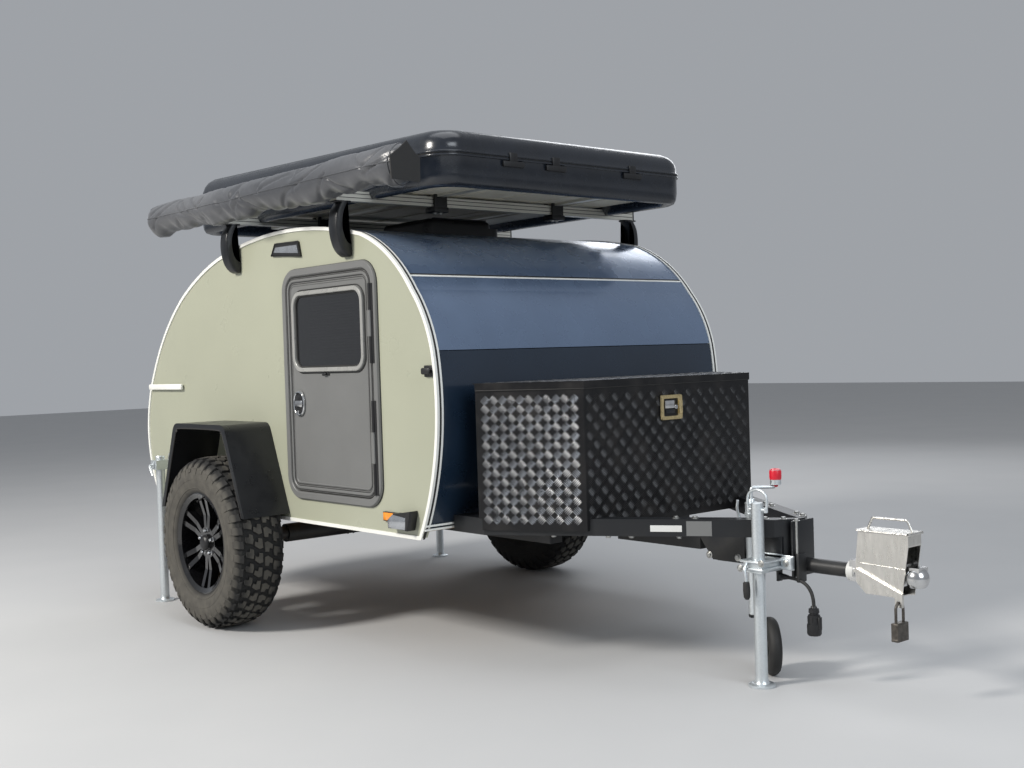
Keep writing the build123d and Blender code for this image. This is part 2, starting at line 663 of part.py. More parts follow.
JOCKEY_TUBE = (385, 600, 22.5)
JOCKEY_BORE = (380, 592, 19.8)
JOCKEY_INNER = (214.5, 470, 19)
GRIP_OFFSET = (56, 65)
outer_tube = upright(*JOCKEY, *JOCKEY_TUBE)
bracket_rear = JOCKEY[0] - 25
bracket_front = JOCKEY[0] + 15
bracket_plan = [
    (bracket_rear, JOCKEY[1] - 18),
    (bracket_rear, -arm_inner(bracket_rear)),
    (bracket_front, -arm_inner(bracket_front)),
    (bracket_front, JOCKEY[1] - 18),
]
outer_tube += plan_prism(bracket_plan, 505, 545)
outer_tube -= upright(*JOCKEY, *JOCKEY_BORE)
grip_x, grip_y = (at + more for at, more in zip(JOCKEY, GRIP_OFFSET))
crank_line = FilletPolyline((*JOCKEY, 598), (*JOCKEY, 656), (grip_x, grip_y, 656), (grip_x, grip_y, 720), radius=10)
crank = sweep(Plane(crank_line @ 0, z_dir=crank_line % 0) * Circle(6), path=crank_line)
crank += upright(grip_x, grip_y, 664, 716, 19)
save("jockey_tube", outer_tube + crank)
save("jockey_inner", upright(*JOCKEY, *JOCKEY_INNER))

# Jockey wheel and fork, drawn along X from the swivel and then turned the way the wheel points
JOCKEY_DIRECTION = math.degrees(math.atan2(0.757, 0.652))
FORK_REACH = JOCKEY_OFFSET - 25
JOCKEY_HALF_SECTION = [(0, JOCKEY_WHEEL_RADIUS), (8, 99), (18, 92), (22, 82), (22, 20), (22, 8)]
fork = Pos(0, 0, 209) * Cylinder(JOCKEY_INNER[2], 10)
fork += block(-17, FORK_REACH, -20, 20, 204.5, 212)
fork += block(FORK_REACH - 6, FORK_REACH, -20, 20, 85, 212)
fork += along(0, JOCKEY_WHEEL_RADIUS, FORK_REACH - 8, JOCKEY_OFFSET + 25, 7)
place = Pos(*JOCKEY, 0) * Rot(0, 0, JOCKEY_DIRECTION)
save("jockey_fork", place * fork)
section = [(-half, radius) for half, radius in reversed(JOCKEY_HALF_SECTION)] + JOCKEY_HALF_SECTION[1:]
jockey_tyre = revolve(make_face(Polyline(*section, close=True)), axis=Axis.X, revolution_arc=360)
jockey_tyre = Pos(JOCKEY_OFFSET, 0, JOCKEY_WHEEL_RADIUS) * jockey_tyre
save("jockey_wheel", place * jockey_tyre)

# Roof bars on curved feet
BAR_TOP = BAR_BOTTOM + BAR_HIGH
bars = []
for x in BAR_X:
    bar = block(x - BAR_WIDE / 2, x + BAR_WIDE / 2, -BAR_HALF, BAR_HALF, BAR_BOTTOM, BAR_TOP)
    awning_plate = block(x - 25, x + 25, -AWNING_INNER, -BAR_HALF, BAR_BOTTOM, 1850)
    bars.append(bar + awning_plate)
save("roof_bars", *bars)
FOOT_HALF = 30
FOOT_WALL = 4
FOOT_BEND = [(840, 1722), (846, 1672), (840, 1618), (822, 1580), (796, 1562)]
foot_outer = [(812, BAR_BOTTOM), *FOOT_BEND, (BODY_HALF, 1558)]
foot_inner = [(776, BAR_BOTTOM), (804, 1718), (811, 1670), (806, 1634), (794, 1612), (BODY_HALF, 1600)]
WEB_BEND = [(834, 1722), (840, 1672), (834, 1620), (818, 1585), (796, 1568)]
foot_web = [(806, BAR_BOTTOM), *WEB_BEND, (BODY_HALF, 1564)]
cheek_face = make_face(Polyline(*foot_outer, *reversed(foot_inner), close=True))
web_face = make_face(Polyline(*foot_outer, *reversed(foot_web), close=True))
feet = []
for x in BAR_X:
    bracket = front_prism(web_face, x - FOOT_HALF, x + FOOT_HALF)
    bracket += front_prism(cheek_face, x - FOOT_HALF, x - FOOT_HALF + FOOT_WALL)
    bracket += front_prism(cheek_face, x + FOOT_HALF - FOOT_WALL, x + FOOT_HALF)
    bracket += block(x - FOOT_HALF, x + FOOT_HALF, 770, 812, BAR_BOTTOM - 6, BAR_BOTTOM)
    bracket += block(x - FOOT_HALF, x + FOOT_HALF, BODY_HALF, BODY_HALF + 6, 1545, 1600)
    feet += both_sides(bracket)
save("roof_bar_feet", *feet)
vent = block(210, 630, -210, 210, 1680, 1722) + block(235, 605, -185, 185, 1722, 1760)
vent = fillet(vent.edges().filter_by(Axis.Z), radius=40)
vent = fillet(vent.faces().sort_by(Axis.Z)[-1].edges(), radius=24)
save("roof_vent", vent - side_prism(OUTLINE, -300, 300))

# Roof tent: a tray and a lid, both cut to one rounded plan
TENT_WALL = 5
rails = [block(-465, 1150, y - 20, y + 20, BAR_TOP, TENT_BOTTOM) for y in (-330, 330)]
save("tent_rails", *rails)


def tent_plan(inset):
    """The tent's rounded plan, drawn in by an inset, as a block tall enough for both shells."""
    length = TENT_FRONT - TENT_REAR - 2 * inset
    rounded = RectangleRounded(length, 2 * TENT_HALF - 2 * inset, TENT_CORNER - inset)
    middle = Pos((TENT_REAR + TENT_FRONT) / 2, 0)
    return Pos(0, 0, TENT_LIP) * extrude(middle * rounded, amount=400, dir=(0, 0, 1))


tent_block = tent_plan(0)
tent_core = tent_plan(TENT_WALL)
hull_side = make_face(
    Polyline(
        (TENT_REAR, TENT_JOINT - 1),
        (TENT_REAR + 4, TENT_BOTTOM - 8),
        (TENT_REAR + 24, TENT_LIP + 6),
        (TENT_REAR + 90, TENT_LIP),
        (TENT_REAR + 150, TENT_BOTTOM),
        (TENT_FRONT - 190, TENT_BOTTOM),
        (TENT_FRONT - 110, TENT_LIP),
        (TENT_FRONT - 30, TENT_LIP),
        (TENT_FRONT - 8, TENT_LIP + 14),
        (TENT_FRONT, TENT_BOTTOM + 18),
        (TENT_FRONT, TENT_JOINT - 1),
        close=True,
    )
)
tent_base = side_prism(hull_side, -TENT_HALF, TENT_HALF) & tent_block
tent_base -= tent_core & block(-2000, 2000, -900, 900, TENT_BOTTOM + 25, TENT_JOINT + 10)
save("roof_tent_base", tent_base)
tent_side = make_face(
    Polyline(
        (TENT_REAR, TENT_JOINT),
        (TENT_REAR + 20, TENT_TOP_REAR - 60),
        (TENT_REAR + 110, TENT_TOP_REAR),
        (TENT_FRONT - 150, TENT_TOP_FRONT),
        (TENT_FRONT - 25, TENT_TOP_FRONT - 45),
        (TENT_FRONT, TENT_JOINT),
        close=True,
    )
)
side_slope = make_face(
    Polyline(
        (TENT_HALF, TENT_JOINT - 10),
        (TENT_HALF, TENT_JOINT + 55),
        (TENT_HALF - 22, TENT_JOINT + 92),
        (TENT_HALF - 70, TENT_TOP_REAR + 5),
        (TENT_HALF + 50, TENT_TOP_REAR + 5),
        (TENT_HALF + 50, TENT_JOINT - 10),
        close=True,
    )
)
side_cut = front_prism(side_slope, TENT_REAR - 20, TENT_FRONT + 20)
tent_lid = side_prism(tent_side, -TENT_HALF, TENT_HALF) & tent_block
tent_lid = tent_lid - side_cut - other_side(side_cut)
tent_inner_half = TENT_HALF - TENT_WALL
hollow = side_prism(offset(tent_side, amount=-TENT_WALL), -tent_inner_half, tent_inner_half) & tent_core
inner_cut = Pos(0, -TENT_WALL, -3) * side_cut
tent_lid -= hollow - inner_cut - other_side(inner_cut)
tent_lid -= tent_core & block(-2000, 2000, -900, 900, TENT_JOINT - 5, TENT_JOINT + 8)
save("roof_tent_lid", tent_lid)

# Awning bag on the right-hand bar ends
awning_middle = (AWNING_INNER + AWNING_OUTER) / 2
awning = Pos(-awning_middle, (AWNING_BOTTOM + AWNING_TOP) / 2)
awning *= RectangleRounded(AWNING_OUTER - AWNING_INNER, AWNING_TOP - AWNING_BOTTOM, 50)
save("awning_bag", front_prism(awning, AWNING_REAR, AWNING_FRONT))

# Lamps
lamp_outline = make_face(Polyline((279, 1601), (310, 1648), (498, 1643), (515, 1581), close=True))
lamp = side_prism(lamp_outline, BODY_HALF, BODY_HALF + 8)
amber = block(1051, 1139, BODY_HALF, BODY_HALF + 10, 528, 563)
holder = block(1150, 1235, BODY_HALF, BODY_HALF + 35, 508, 565)
save("side_lamps", *both_sides(lamp), *both_sides(amber), *both_sides(holder))
rear_lamp = block(-999, -964, 480, 640, 597, 636)
save("rear_lamps", *both_sides(rear_lamp - tail))

# Plug cable, hanging free from the drawbar
CABLE_POINTS = [
    (2352, -56, 360),
    (2394, -56, 360),
    (2438, -57, 355),
    (2470, -58, 337),
    (2487, -58, 302),
    (2487, -58, 276),
]
CABLE_RADIUS = 6
cable_radii = []
for before, here, after in zip(CABLE_POINTS, CABLE_POINTS[1:], CABLE_POINTS[2:]):
    run_in = Vector(*here) - Vector(*before)
    run_out = Vector(*after) - Vector(*here)
    turn = math.radians(run_in.get_angle(run_out))
    cable_radii.append(0.45 * min(run_in.length, run_out.length) / math.tan(turn / 2))
print("cable radii", [round(radius) for radius in cable_radii])
cable_path = FilletPolyline(*CABLE_POINTS, radius=cable_radii)
cable = sweep(Plane(cable_path @ 0, z_dir=cable_path % 0) * Circle(CABLE_RADIUS), path=cable_path)
cable_volume = math.pi * CABLE_RADIUS**2 * cable_path.length
print("cable volume", round(cable.volume), "section times length", round(cable_volume))
save("plug_cable", cable)
plug_top = CABLE_POINTS[-1]
save("plug", upright(plug_top[0], plug_top[1], 178, plug_top[2], 24))
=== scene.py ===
import json
import math

import bmesh
import bpy
from mathutils import Matrix, Vector, noise

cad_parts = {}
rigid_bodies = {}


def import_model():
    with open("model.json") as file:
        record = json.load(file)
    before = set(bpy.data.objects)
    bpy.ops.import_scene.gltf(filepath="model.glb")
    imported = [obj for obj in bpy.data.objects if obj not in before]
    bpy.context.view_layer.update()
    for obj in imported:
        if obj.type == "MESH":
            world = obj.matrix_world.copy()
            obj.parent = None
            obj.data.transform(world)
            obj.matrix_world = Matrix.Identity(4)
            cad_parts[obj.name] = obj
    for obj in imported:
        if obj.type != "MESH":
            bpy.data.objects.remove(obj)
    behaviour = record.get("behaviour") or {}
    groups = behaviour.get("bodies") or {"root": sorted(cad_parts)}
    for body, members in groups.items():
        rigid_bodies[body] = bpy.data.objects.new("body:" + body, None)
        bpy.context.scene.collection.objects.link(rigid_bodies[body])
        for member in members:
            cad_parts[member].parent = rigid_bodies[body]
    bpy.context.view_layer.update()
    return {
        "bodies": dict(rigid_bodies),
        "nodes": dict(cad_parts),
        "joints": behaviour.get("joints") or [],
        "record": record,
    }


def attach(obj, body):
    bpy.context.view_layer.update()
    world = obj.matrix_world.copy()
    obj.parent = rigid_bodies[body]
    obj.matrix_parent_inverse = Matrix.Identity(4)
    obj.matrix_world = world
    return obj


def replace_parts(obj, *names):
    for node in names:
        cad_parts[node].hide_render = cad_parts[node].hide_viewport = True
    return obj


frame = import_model()
NODES = frame["nodes"]
ORIGIN_X = 922
WHEEL_Z = 372.5
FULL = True


def at(x, y, z):
    """A point in millimetres from the wheels' axle, as metres in the trailer's frame."""
    return Vector(((x - ORIGIN_X) / 1000, y / 1000, z / 1000))


# Camera, fitted to the photograph
CAMERA_TURN = (139.2763, -1.2319, -1.8396)
CAMERA_PLACE = (4960.4, -3480.4, 1135.1)
FOCAL_PIXELS, FRAME_PIXELS = 1239.528, 1024
SENSOR = 36


def make_camera():
    yaw, pitch, roll = (math.radians(a) for a in CAMERA_TURN)
    forward = Vector((math.cos(yaw) * math.cos(pitch), math.sin(yaw) * math.cos(pitch), math.sin(pitch)))
    right = forward.cross(Vector((0, 0, 1))).normalized()
    down = forward.cross(right)
    across = math.cos(roll) * right - math.sin(roll) * down
    up = -(math.sin(roll) * right + math.cos(roll) * down)
    camera = bpy.data.objects.new("camera", bpy.data.cameras.new("camera"))
    bpy.context.scene.collection.objects.link(camera)
    turn = Matrix((across, up, -forward)).transposed().to_4x4()
    camera.matrix_world = Matrix.Translation(at(*CAMERA_PLACE)) @ turn
    camera.data.sensor_width = SENSOR
    camera.data.lens = FOCAL_PIXELS * SENSOR / FRAME_PIXELS
    camera.data.clip_end = 200
    bpy.context.scene.camera = camera


make_camera()


# Materials
class Shader:
    """A material whose nodes are added one call at a time."""

    def __init__(self, name, **sockets):
        self.mat = bpy.data.materials.new(name)
        self.mat.use_nodes = True
        self.tree = self.mat.node_tree
        self.bsdf = self.tree.nodes["Principled BSDF"]
        self.put(**sockets)
        self.place = self.node("TexCoord").outputs["Object"]

    def put(self, **sockets):
        for key, value in sockets.items():
            socket = self.bsdf.inputs[key.replace("_", " ")]
            if isinstance(value, bpy.types.NodeSocket):
                self.tree.links.new(value, socket)
            else:
                socket.default_value = (*value, 1) if isinstance(value, tuple) and len(value) == 3 else value

    def node(self, kind, inputs=None, **props):
        made = self.tree.nodes.new("ShaderNode" + kind)
        for key, value in props.items():
            setattr(made, key, value)
        for key, value in (inputs or {}).items():
            if isinstance(value, bpy.types.NodeSocket):
                self.tree.links.new(value, made.inputs[key])
            elif isinstance(value, tuple) and len(made.inputs[key].default_value) == 4:
                made.inputs[key].default_value = (*value[:3], 1)
            else:
                made.inputs[key].default_value = value
        return made

    def stretched(self, scale):
        return self.node("Mapping", {"Vector": self.place, "Scale": scale}).outputs["Vector"]

    def noise(self, scale, detail=4.0, stretch=None, distortion=0.0):
        place = self.stretched(stretch) if stretch else self.place
        inputs = {"Vector": place, "Scale": scale, "Detail": detail, "Distortion": distortion}
        return self.node("TexNoise", inputs).outputs["Fac"]

    def span(self, value, low, high, start=0.0, end=1.0):
        inputs = {"Value": value, "From Min": start, "From Max": end, "To Min": low, "To Max": high}
        return self.node("MapRange", inputs).outputs["Result"]

    def mix(self, factor, first, second):
        made = self.node("Mix", data_type="RGBA")
        for index, value in ((0, factor), (6, first), (7, second)):
            if isinstance(value, bpy.types.NodeSocket):
                self.tree.links.new(value, made.inputs[index])
            else:
                made.inputs[index].default_value = (*value, 1) if isinstance(value, tuple) else value
        return made.outputs[2]

    def bump(self, height, strength, distance):
        inputs = {"Height": height, "Strength": strength, "Distance": distance}
        self.put(Normal=self.node("Bump", inputs).outputs["Normal"])
        return self

    def axis(self, name):
        return self.node("SeparateXYZ", {"Vector": self.place}).outputs[name]


def shade(color, factor):
    return tuple(min(1.0, c * factor) for c in color)


def finish(name, color, rough, metal, vary=0.12, size=6.0, grain=350.0, depth=0.0002, rough_vary=0.08, **more):
    """Paint, plastic or metal with slow colour changes, uneven gloss and a fine grain."""
    made = Shader(name, Metallic=metal, **more)
    slow = made.span(made.noise(size, 5.0), 0, 1, 0.3, 0.7)
    made.put(Base_Color=made.mix(slow, shade(color, 1 - vary), shade(color, 1 + vary)))
    made.put(Roughness=made.span(made.noise(size * 3, 6.0), rough - rough_vary, rough + rough_vary, 0.3, 0.7))
    return made.bump(made.noise(grain, 3.0), 0.25, depth)


def dusty(made, color, rough, dust, top, bottom, amount=0.85):
    """Dust that thickens from a height down to another, broken up by noise."""
    height = made.span(made.axis("Z"), 0, 1, top, bottom)
    patch = made.span(made.noise(14, 8.0), 0, 1, 0.35, 0.65)
    both = made.node("Math", {0: height, 1: patch}, operation="MULTIPLY").outputs[0]
    cover = made.span(both, 0, amount)
    made.put(Base_Color=made.mix(cover, color, dust), Roughness=made.span(cover, rough, 0.9))


# Colour, roughness, metal, and what differs from the usual finish
FINISHES = {
    "side_paint": (
        (0.36, 0.37, 0.285), 0.34, 0,
        dict(vary=0.03, size=2, grain=90, depth=0.0003, Coat_Weight=0.25, Coat_Roughness=0.2),
    ),
    # Grey metallic paint; the blue in this colour is a painted sky reflection.
    "roof_paint": (
        (0.155, 0.215, 0.325), 0.28, 0.5,
        dict(vary=0.06, size=3, grain=900, depth=0.0001, Coat_Weight=0.5, Coat_Roughness=0.12),
    ),
    # Near-black paint; the blue tint in this colour is a painted sky reflection.
    "front_paint": (
        (0.010, 0.022, 0.042), 0.3, 0.2,
        dict(vary=0.1, size=3, grain=900, depth=0.0001, Coat_Weight=0.5, Coat_Roughness=0.12),
    ),
    "door_paint": ((0.15, 0.152, 0.15), 0.42, 0, dict(vary=0.05, size=4, grain=700, depth=0.0003)),
    "white_trim": ((0.78, 0.78, 0.74), 0.4, 0, dict(vary=0.05, grain=300)),
    "black_plastic": ((0.008, 0.008, 0.009), 0.42, 0, dict(vary=0.2, grain=1200, depth=0.0003)),
    "black_steel": ((0.007, 0.008, 0.010), 0.34, 0, dict(vary=0.15, grain=1500, depth=0.0002)),
    "tent_shell": (
        (0.009, 0.012, 0.018), 0.24, 0,
        dict(vary=0.15, size=8, grain=420, depth=0.0004, Coat_Weight=0.35, Coat_Roughness=0.18),
    ),
    "rim_black": (
        (0.006, 0.006, 0.007), 0.22, 0.3,
        dict(vary=0.2, grain=900, depth=0.0001, Coat_Weight=0.8, Coat_Roughness=0.08),
    ),
    "chrome": (
        (0.72, 0.73, 0.74), 0.12, 1.0,
        dict(vary=0.05, size=30, grain=600, depth=0.0001, rough_vary=0.05),
    ),
    "bright_steel": ((0.6, 0.6, 0.6), 0.2, 1.0, dict(vary=0.15, size=25, grain=500, depth=0.0003)),
    "brass_lock": ((0.68, 0.55, 0.30), 0.3, 0.9, dict(vary=0.15, size=60, grain=700)),
    "padlock": ((0.10, 0.09, 0.08), 0.45, 0.8, dict(vary=0.3, size=60, grain=500, depth=0.0005)),
    "pin_bolt": ((0.5, 0.5, 0.48), 0.35, 1.0, dict(vary=0.2, size=80, grain=900)),
    "red_grip": ((0.62, 0.012, 0.03), 0.35, 0, dict(vary=0.1, size=30, grain=500, depth=0.0003)),
    "pale_panel": ((0.62, 0.58, 0.47), 0.5, 0, dict(vary=0.08, size=5, grain=400)),
    "pale_plastic": ((0.6, 0.6, 0.58), 0.5, 0, dict(vary=0.06, grain=500, depth=0.0003)),
    "amber_lens": (
        (0.85, 0.28, 0.02), 0.18, 0,
        dict(vary=0.1, size=40, grain=300, depth=0.0008, Coat_Weight=0.6),
    ),
    "red_lens": (
        (0.55, 0.01, 0.01), 0.18, 0,
        dict(vary=0.1, size=40, grain=300, depth=0.0008, Coat_Weight=0.6),
    ),
    "clear_lens": (
        (0.42, 0.44, 0.47), 0.12, 0.75,
        dict(vary=0.1, size=40, grain=300, depth=0.001, Coat_Weight=0.8),
    ),
    "window_rim": ((0.34, 0.34, 0.325), 0.3, 0.2, dict(vary=0.06, grain=500, depth=0.0003)),
    # The chequer plate's black bars made paler and glossier: a painted glint, lit copy of chequer_plate.
    "painted_glint_relief": ((0.13, 0.133, 0.14), 0.3, 0.8, dict(vary=0.3, size=12, grain=900)),
    "vent_plastic": ((0.012, 0.012, 0.013), 0.35, 0, dict(vary=0.1, grain=600)),
}


def make_materials():
    found = {name: finish(name, *values, **more) for name, (*values, more) in FINISHES.items()}
    found["lamp_plastic"] = found["black_plastic"]

    chassis = Shader("chassis")
    dusty(chassis, (0.007, 0.008, 0.010), 0.4, (0.12, 0.11, 0.09), 0.55, 0.1, 0.4)
    found["chassis"] = chassis.bump(chassis.noise(600, 3.0), 0.25, 0.0004)

    galvanised = Shader("galvanised", Metallic=0.8)
    cells = galvanised.node("TexVoronoi", {"Vector": galvanised.place, "Scale": 240.0}).outputs["Color"]
    grey = galvanised.node("RGBToBW", {"Color": cells}).outputs["Val"]
    streak = galvanised.noise(18, 6.0, (1, 1, 0.15))
    both = galvanised.node("Math", {0: grey, 1: streak}, operation="MULTIPLY").outputs[0]
    zinc = galvanised.span(both, 0, 1, 0.0, 0.6)
    galvanised.put(Base_Color=galvanised.mix(zinc, (0.60, 0.64, 0.66), (0.72, 0.76, 0.78)))
    galvanised.put(Roughness=galvanised.span(grey, 0.32, 0.42))
    found["galvanised"] = galvanised.bump(streak, 0.2, 0.0004)

    stainless = Shader("stainless", Metallic=1.0)
    streak = stainless.noise(60, 6.0, (1, 1, 0.2))
    stainless.put(Base_Color=stainless.mix(streak, (0.5, 0.49, 0.46), (0.8, 0.78, 0.74)))
    stainless.put(Roughness=stainless.span(streak, 0.2, 0.42, 0.3, 0.7))
    found["stainless"] = stainless.bump(stainless.noise(95, 3.0, (1, 1, 0.45)), 0.6, 0.002)

    bar = Shader("bar_aluminium", Metallic=0.75)
    brushed = bar.noise(40, 6.0, (12, 0.4, 12))
    bar.put(Base_Color=bar.mix(brushed, (0.62, 0.61, 0.55), (0.75, 0.74, 0.67)))
    bar.put(Roughness=bar.span(brushed, 0.35, 0.55))
    found["bar_aluminium"] = bar.bump(brushed, 0.15, 0.0002)

    plate = Shader("chequer_plate", Metallic=0.35)
    rub = plate.span(plate.noise(9, 8.0), 0, 1, 0.45, 0.75)
    plate.put(Base_Color=plate.mix(rub, (0.009, 0.009, 0.010), (0.022, 0.020, 0.019)))
    plate.put(Roughness=plate.span(rub, 0.3, 0.5))
    found["chequer_plate"] = plate.bump(plate.noise(700, 3.0), 0.2, 0.0003)

    tyre = Shader("tyre")
    to_axle = {"Vector": tyre.place, "Location": (ORIGIN_X / 1000, 0, -WHEEL_Z / 1000), "Scale": (1, 0, 1)}
    from_axle = tyre.node("Mapping", to_axle).outputs["Vector"]
    radius = tyre.node("VectorMath", {0: from_axle}, operation="LENGTH").outputs["Value"]
    outward = tyre.node("Math", {0: tyre.axis("Y")}, operation="ABSOLUTE").outputs[0]
    worn = tyre.span(radius, 0, 1, 0.3655, 0.3715)
    wall = tyre.span(outward, 0, 1, 1.020, 1.032)
    open_face = tyre.node("Math", {0: worn, 1: wall}, operation="MAXIMUM").outputs[0]
    dust = tyre.span(tyre.noise(26, 9.0), 0.55, 1, 0.3, 0.7)
    both = tyre.node("Math", {0: dust, 1: open_face}, operation="MULTIPLY").outputs[0]
    tyre.put(Base_Color=tyre.mix(both, (0.010, 0.010, 0.010), (0.088, 0.082, 0.070)))
    tyre.put(Roughness=tyre.span(dust, 0.75, 0.92))
    found["tyre"] = tyre.bump(tyre.noise(420, 4.0), 0.4, 0.0008)

    rubber = Shader("black_rubber")
    worn = rubber.noise(50, 7.0)
    rubber.put(Base_Color=rubber.mix(worn, (0.008, 0.008, 0.008), (0.022, 0.021, 0.020)))
    rubber.put(Roughness=rubber.span(worn, 0.55, 0.75))
    found["black_rubber"] = rubber.bump(rubber.noise(900, 3.0), 0.3, 0.0003)

    ply = Shader("plywood")
    grain = ply.noise(18, 8.0, (0.4, 6, 6), 0.6)
    ply.put(Base_Color=ply.mix(grain, (0.33, 0.19, 0.085), (0.62, 0.43, 0.24)))
    ply.put(Roughness=ply.span(grain, 0.35, 0.55))
    found["plywood"] = ply.bump(grain, 0.2, 0.0004)

    found["cushion"] = woven("cushion", (0.24, 0.25, 0.26), (0.36, 0.36, 0.35), 420, 0.0008, 0.85)
    found["blind"] = woven("blind", (0.20, 0.185, 0.18), (0.28, 0.265, 0.25), 600, 0.0004, 0.8)
    vinyl = Shader("awning_vinyl", Sheen_Weight=0.15)
    cloudy = vinyl.noise(4, 8.0, (0.5, 1, 1))
    slow = vinyl.span(cloudy, 0, 1, 0.35, 0.65)
    vinyl.put(Base_Color=vinyl.mix(slow, (0.04, 0.043, 0.05), (0.075, 0.078, 0.086)))
    vinyl.put(Roughness=vinyl.span(vinyl.noise(30, 6.0), 0.26, 0.42))
    links = {"Vector": vinyl.place, "Scale": 260.0}
    weave = vinyl.node("TexWave", links, wave_type="BANDS", bands_direction="DIAGONAL")
    found["awning_vinyl"] = vinyl.bump(weave.outputs["Fac"], 0.12, 0.0003)

    glass = Shader("window", Roughness=0.06, Transmission_Weight=0.85, IOR=1.49, Coat_Weight=0.4)
    scratch = glass.noise(400, 8.0)
    glass.put(Base_Color=glass.mix(scratch, (0.045, 0.048, 0.055), (0.07, 0.072, 0.08)))
    found["window"] = glass.bump(glass.noise(12, 2.0), 0.05, 0.001)
    return {key: made.mat for key, made in found.items()}


def woven(name, dark, pale, threads, depth, rough):
    """A plain weave of two crossing waves, with slow fading."""
    made = Shader(name, Roughness=rough, Sheen_Weight=0.3)
    waves = []
    for direction in ("X", "Y"):
        wave = made.node("TexWave", {"Vector": made.place, "Scale": threads / 3.0, "Distortion": 0.6},
                         wave_type="BANDS", bands_direction=direction)
        waves.append(wave.outputs["Fac"])
    weave = made.node("Math", {0: waves[0], 1: waves[1]}, operation="MULTIPLY").outputs[0]
    faded = made.mix(made.noise(7, 6.0), dark, pale)
    made.put(Base_Color=made.mix(made.span(weave, 0, 0.4), faded, pale))
    return made.bump(weave, 0.5, depth)


MAT = make_materials()
for sub in frame["record"]["subparts"]:
    data = NODES[sub["node"]].data
    material = MAT[sub["material_slot"]]
    if data.materials:
        for index in range(len(data.materials)):
            data.materials[index] = material
    else:
        data.materials.append(material)
NODES["padlock"].data.materials[0] = MAT["padlock"]


